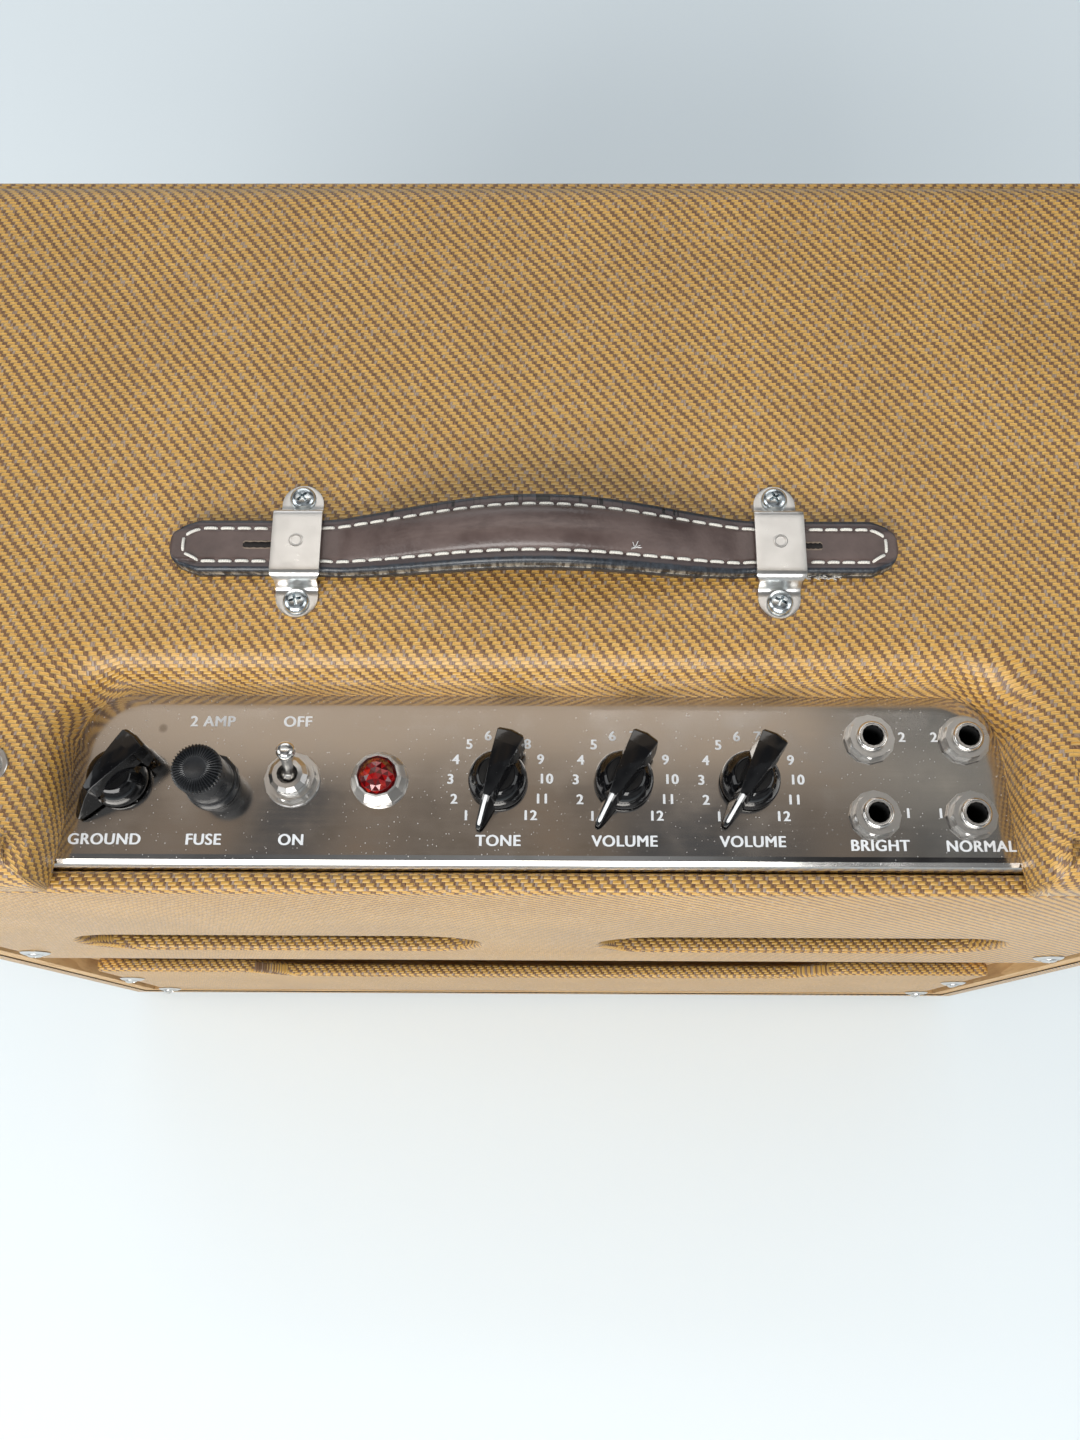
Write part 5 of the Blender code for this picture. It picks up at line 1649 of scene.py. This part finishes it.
def grille():
    low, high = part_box("grille_cloth")
    rows, columns = 40, 48
    verts, cloth = [], []
    for i in range(rows + 1):
        for j in range(columns + 1):
            x = low.x + (high.x - low.x) * j / columns
            z = low.z + (high.z - low.z) * i / rows
            slack = 0.12 * MM * math.sin(9.1 * i / rows * math.pi) * math.sin(7.3 * j / columns * math.pi)
            verts.append((x, (low.y + high.y) / 2 + slack, z))
            cloth.append((-x / MM, z / MM))
    obj = mesh_object("grille_cloth_sheet", verts, grid_faces(rows + 1, columns + 1), cloth)
    modifier(obj, "SOLIDIFY", thickness=0.5 * MM, offset=0)
    keep(obj, grille_material(), "cabinet")
    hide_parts("grille_cloth")


grille()

# ---------------------------------------------------------------- loose threads


def fray(name, at, spread, count, long, colour, thick=0.09):
    """A tuft of loose fibres round one place."""
    runs = []
    for _ in range(count):
        a = 2 * math.pi * rng.random()
        start = Vector(at) + Vector(((rng.random() - 0.5) * spread[0], (rng.random() - 0.5) * spread[1], 0)) * MM
        size = long * (0.5 + rng.random()) * MM
        step = Vector((math.cos(a), math.sin(a), 0.25 + 0.4 * rng.random())) * (size / 5)
        run = [start]
        for k in range(5):
            bend = Vector((rng.random() - 0.5, rng.random() - 0.5, -0.1 * k)) * (size / 6)
            run.append(run[-1] + step + bend)
        runs.append(run)
    keep(tube_mesh(name, runs, thick * MM, 6), thread_material(name + "_fibre", colour), "cabinet", 60)


edge_x, edge_y = RECESS_HALF[1] + 2.5 * MM, REAR_Y - 1.5 * MM
fray("frayed_corner_left", (-edge_x, edge_y, TOP_Z - 13 * MM), (5.0, 2.0), 26, 2.6, (0.80, 0.76, 0.68))
fray("frayed_corner_right", (edge_x, edge_y, TOP_Z - 13 * MM), (3.0, 1.5), 9, 1.8, (0.72, 0.62, 0.48))
rim_y = STRAP.y + STRAP_W * MM
torn_at = (CLAMP["left"].x - 13 * MM, rim_y + 0.1 * MM, TOP_Z + 2.0 * MM)
fray("torn_leather", torn_at, (11.0, 0.8), 44, 1.5, (0.66, 0.63, 0.58), 0.14)
tuft_at = (-28.5 * MM, STRAP.y + ROW_Y * MM, (strap_top(28.5, ROW_Y) + 0.5) * MM)
fray("strap_tuft", tuft_at, (1.2, 0.8), 12, 1.4, (0.85, 0.84, 0.82))

# ---------------------------------------------------------------- stage and end


def room():
    """Dim walls round the stage, seen only in reflections."""
    wall = lathe("room_wall", [(3200, 200), (3200, 1500), (3000, 2500), (2000, 3100), (50, 3300)], 48)
    net = Net("room_wall", Base_Color=(0, 0, 0), Roughness=1.0, Specular_IOR_Level=0.0)
    x, y, z = net.split(net.place())
    patch = net.noise(net.join(x * 0.4, y * 0.4, z * 0.9), 1.3, 1.0)
    tone = net.mix(net.ramp(patch, 0.42, 0.58), (0.030, 0.030, 0.032), (0.34, 0.35, 0.36))
    net.set("Emission Color", tone)
    net.shader.inputs["Emission Strength"].default_value = 1.0
    wall.data.materials.append(net.material)
    wall.visible_camera = False
    wall.visible_diffuse = False
    wall.visible_shadow = False
    wall.visible_transmission = False


def stage():
    floor = mesh_object("floor", [(-4, -4, 0), (4, -4, 0), (4, 4, 0), (-4, 4, 0)], [(0, 1, 2, 3)])
    net = Net("floor", Roughness=0.8, Specular_IOR_Level=0.2, Base_Color=(0.74, 0.79, 0.81))
    floor.data.materials.append(net.material)
    corners = [(-1.3, -1.15, 2), (-1.3, -0.02, 2), (1.3, -0.02, 2), (1.3, -1.15, 2)]
    card = mesh_object("ceiling_card", corners, [(0, 1, 2, 3)])
    net = Net("ceiling_card", Base_Color=(0, 0, 0), Roughness=1.0, Specular_IOR_Level=0.0)
    where = net.place()
    x, y, _ = net.split(where)
    blur = net.noise(where, 2.2, 2.0) * 0.08
    share = net.ramp(y + blur, -0.35, -0.26)
    patch = net.noise(net.join(x * 1.6, y * 0.7), 3.0, 2.0)
    dark = net.mix(net.ramp(patch, 0.40, 0.62), (0.095, 0.098, 0.104), (0.230, 0.190, 0.155))
    dark = net.mix(net.ramp(patch, 0.60, 0.66) * 0.6, dark, (0.34, 0.25, 0.18))
    tan = net.mix(net.ramp(y, -0.74, -0.62, 1.0, 0.0), (0.60, 0.49, 0.385), (0.88, 0.87, 0.85))
    jack_side = net.ramp(x + y * 0.5, -0.80, -0.62, 1.0, 0.0)
    band = net.ramp((y + 0.345).abs(), 0.015, 0.06, 1.0, 0.0)
    right = net.mix(band, (0.14, 0.145, 0.145), (0.46, 0.43, 0.38))
    tone = net.mix(share, tan, dark)
    tone = net.mix(jack_side * net.ramp(y, -0.74, -0.62), tone, right)
    net.set("Emission Color", tone)
    net.shader.inputs["Emission Strength"].default_value = 1.0
    card.data.materials.append(net.material)
    card.visible_camera = False
    card.visible_diffuse = False
    card.visible_shadow = False
    card.visible_transmission = False
    room()


stage()
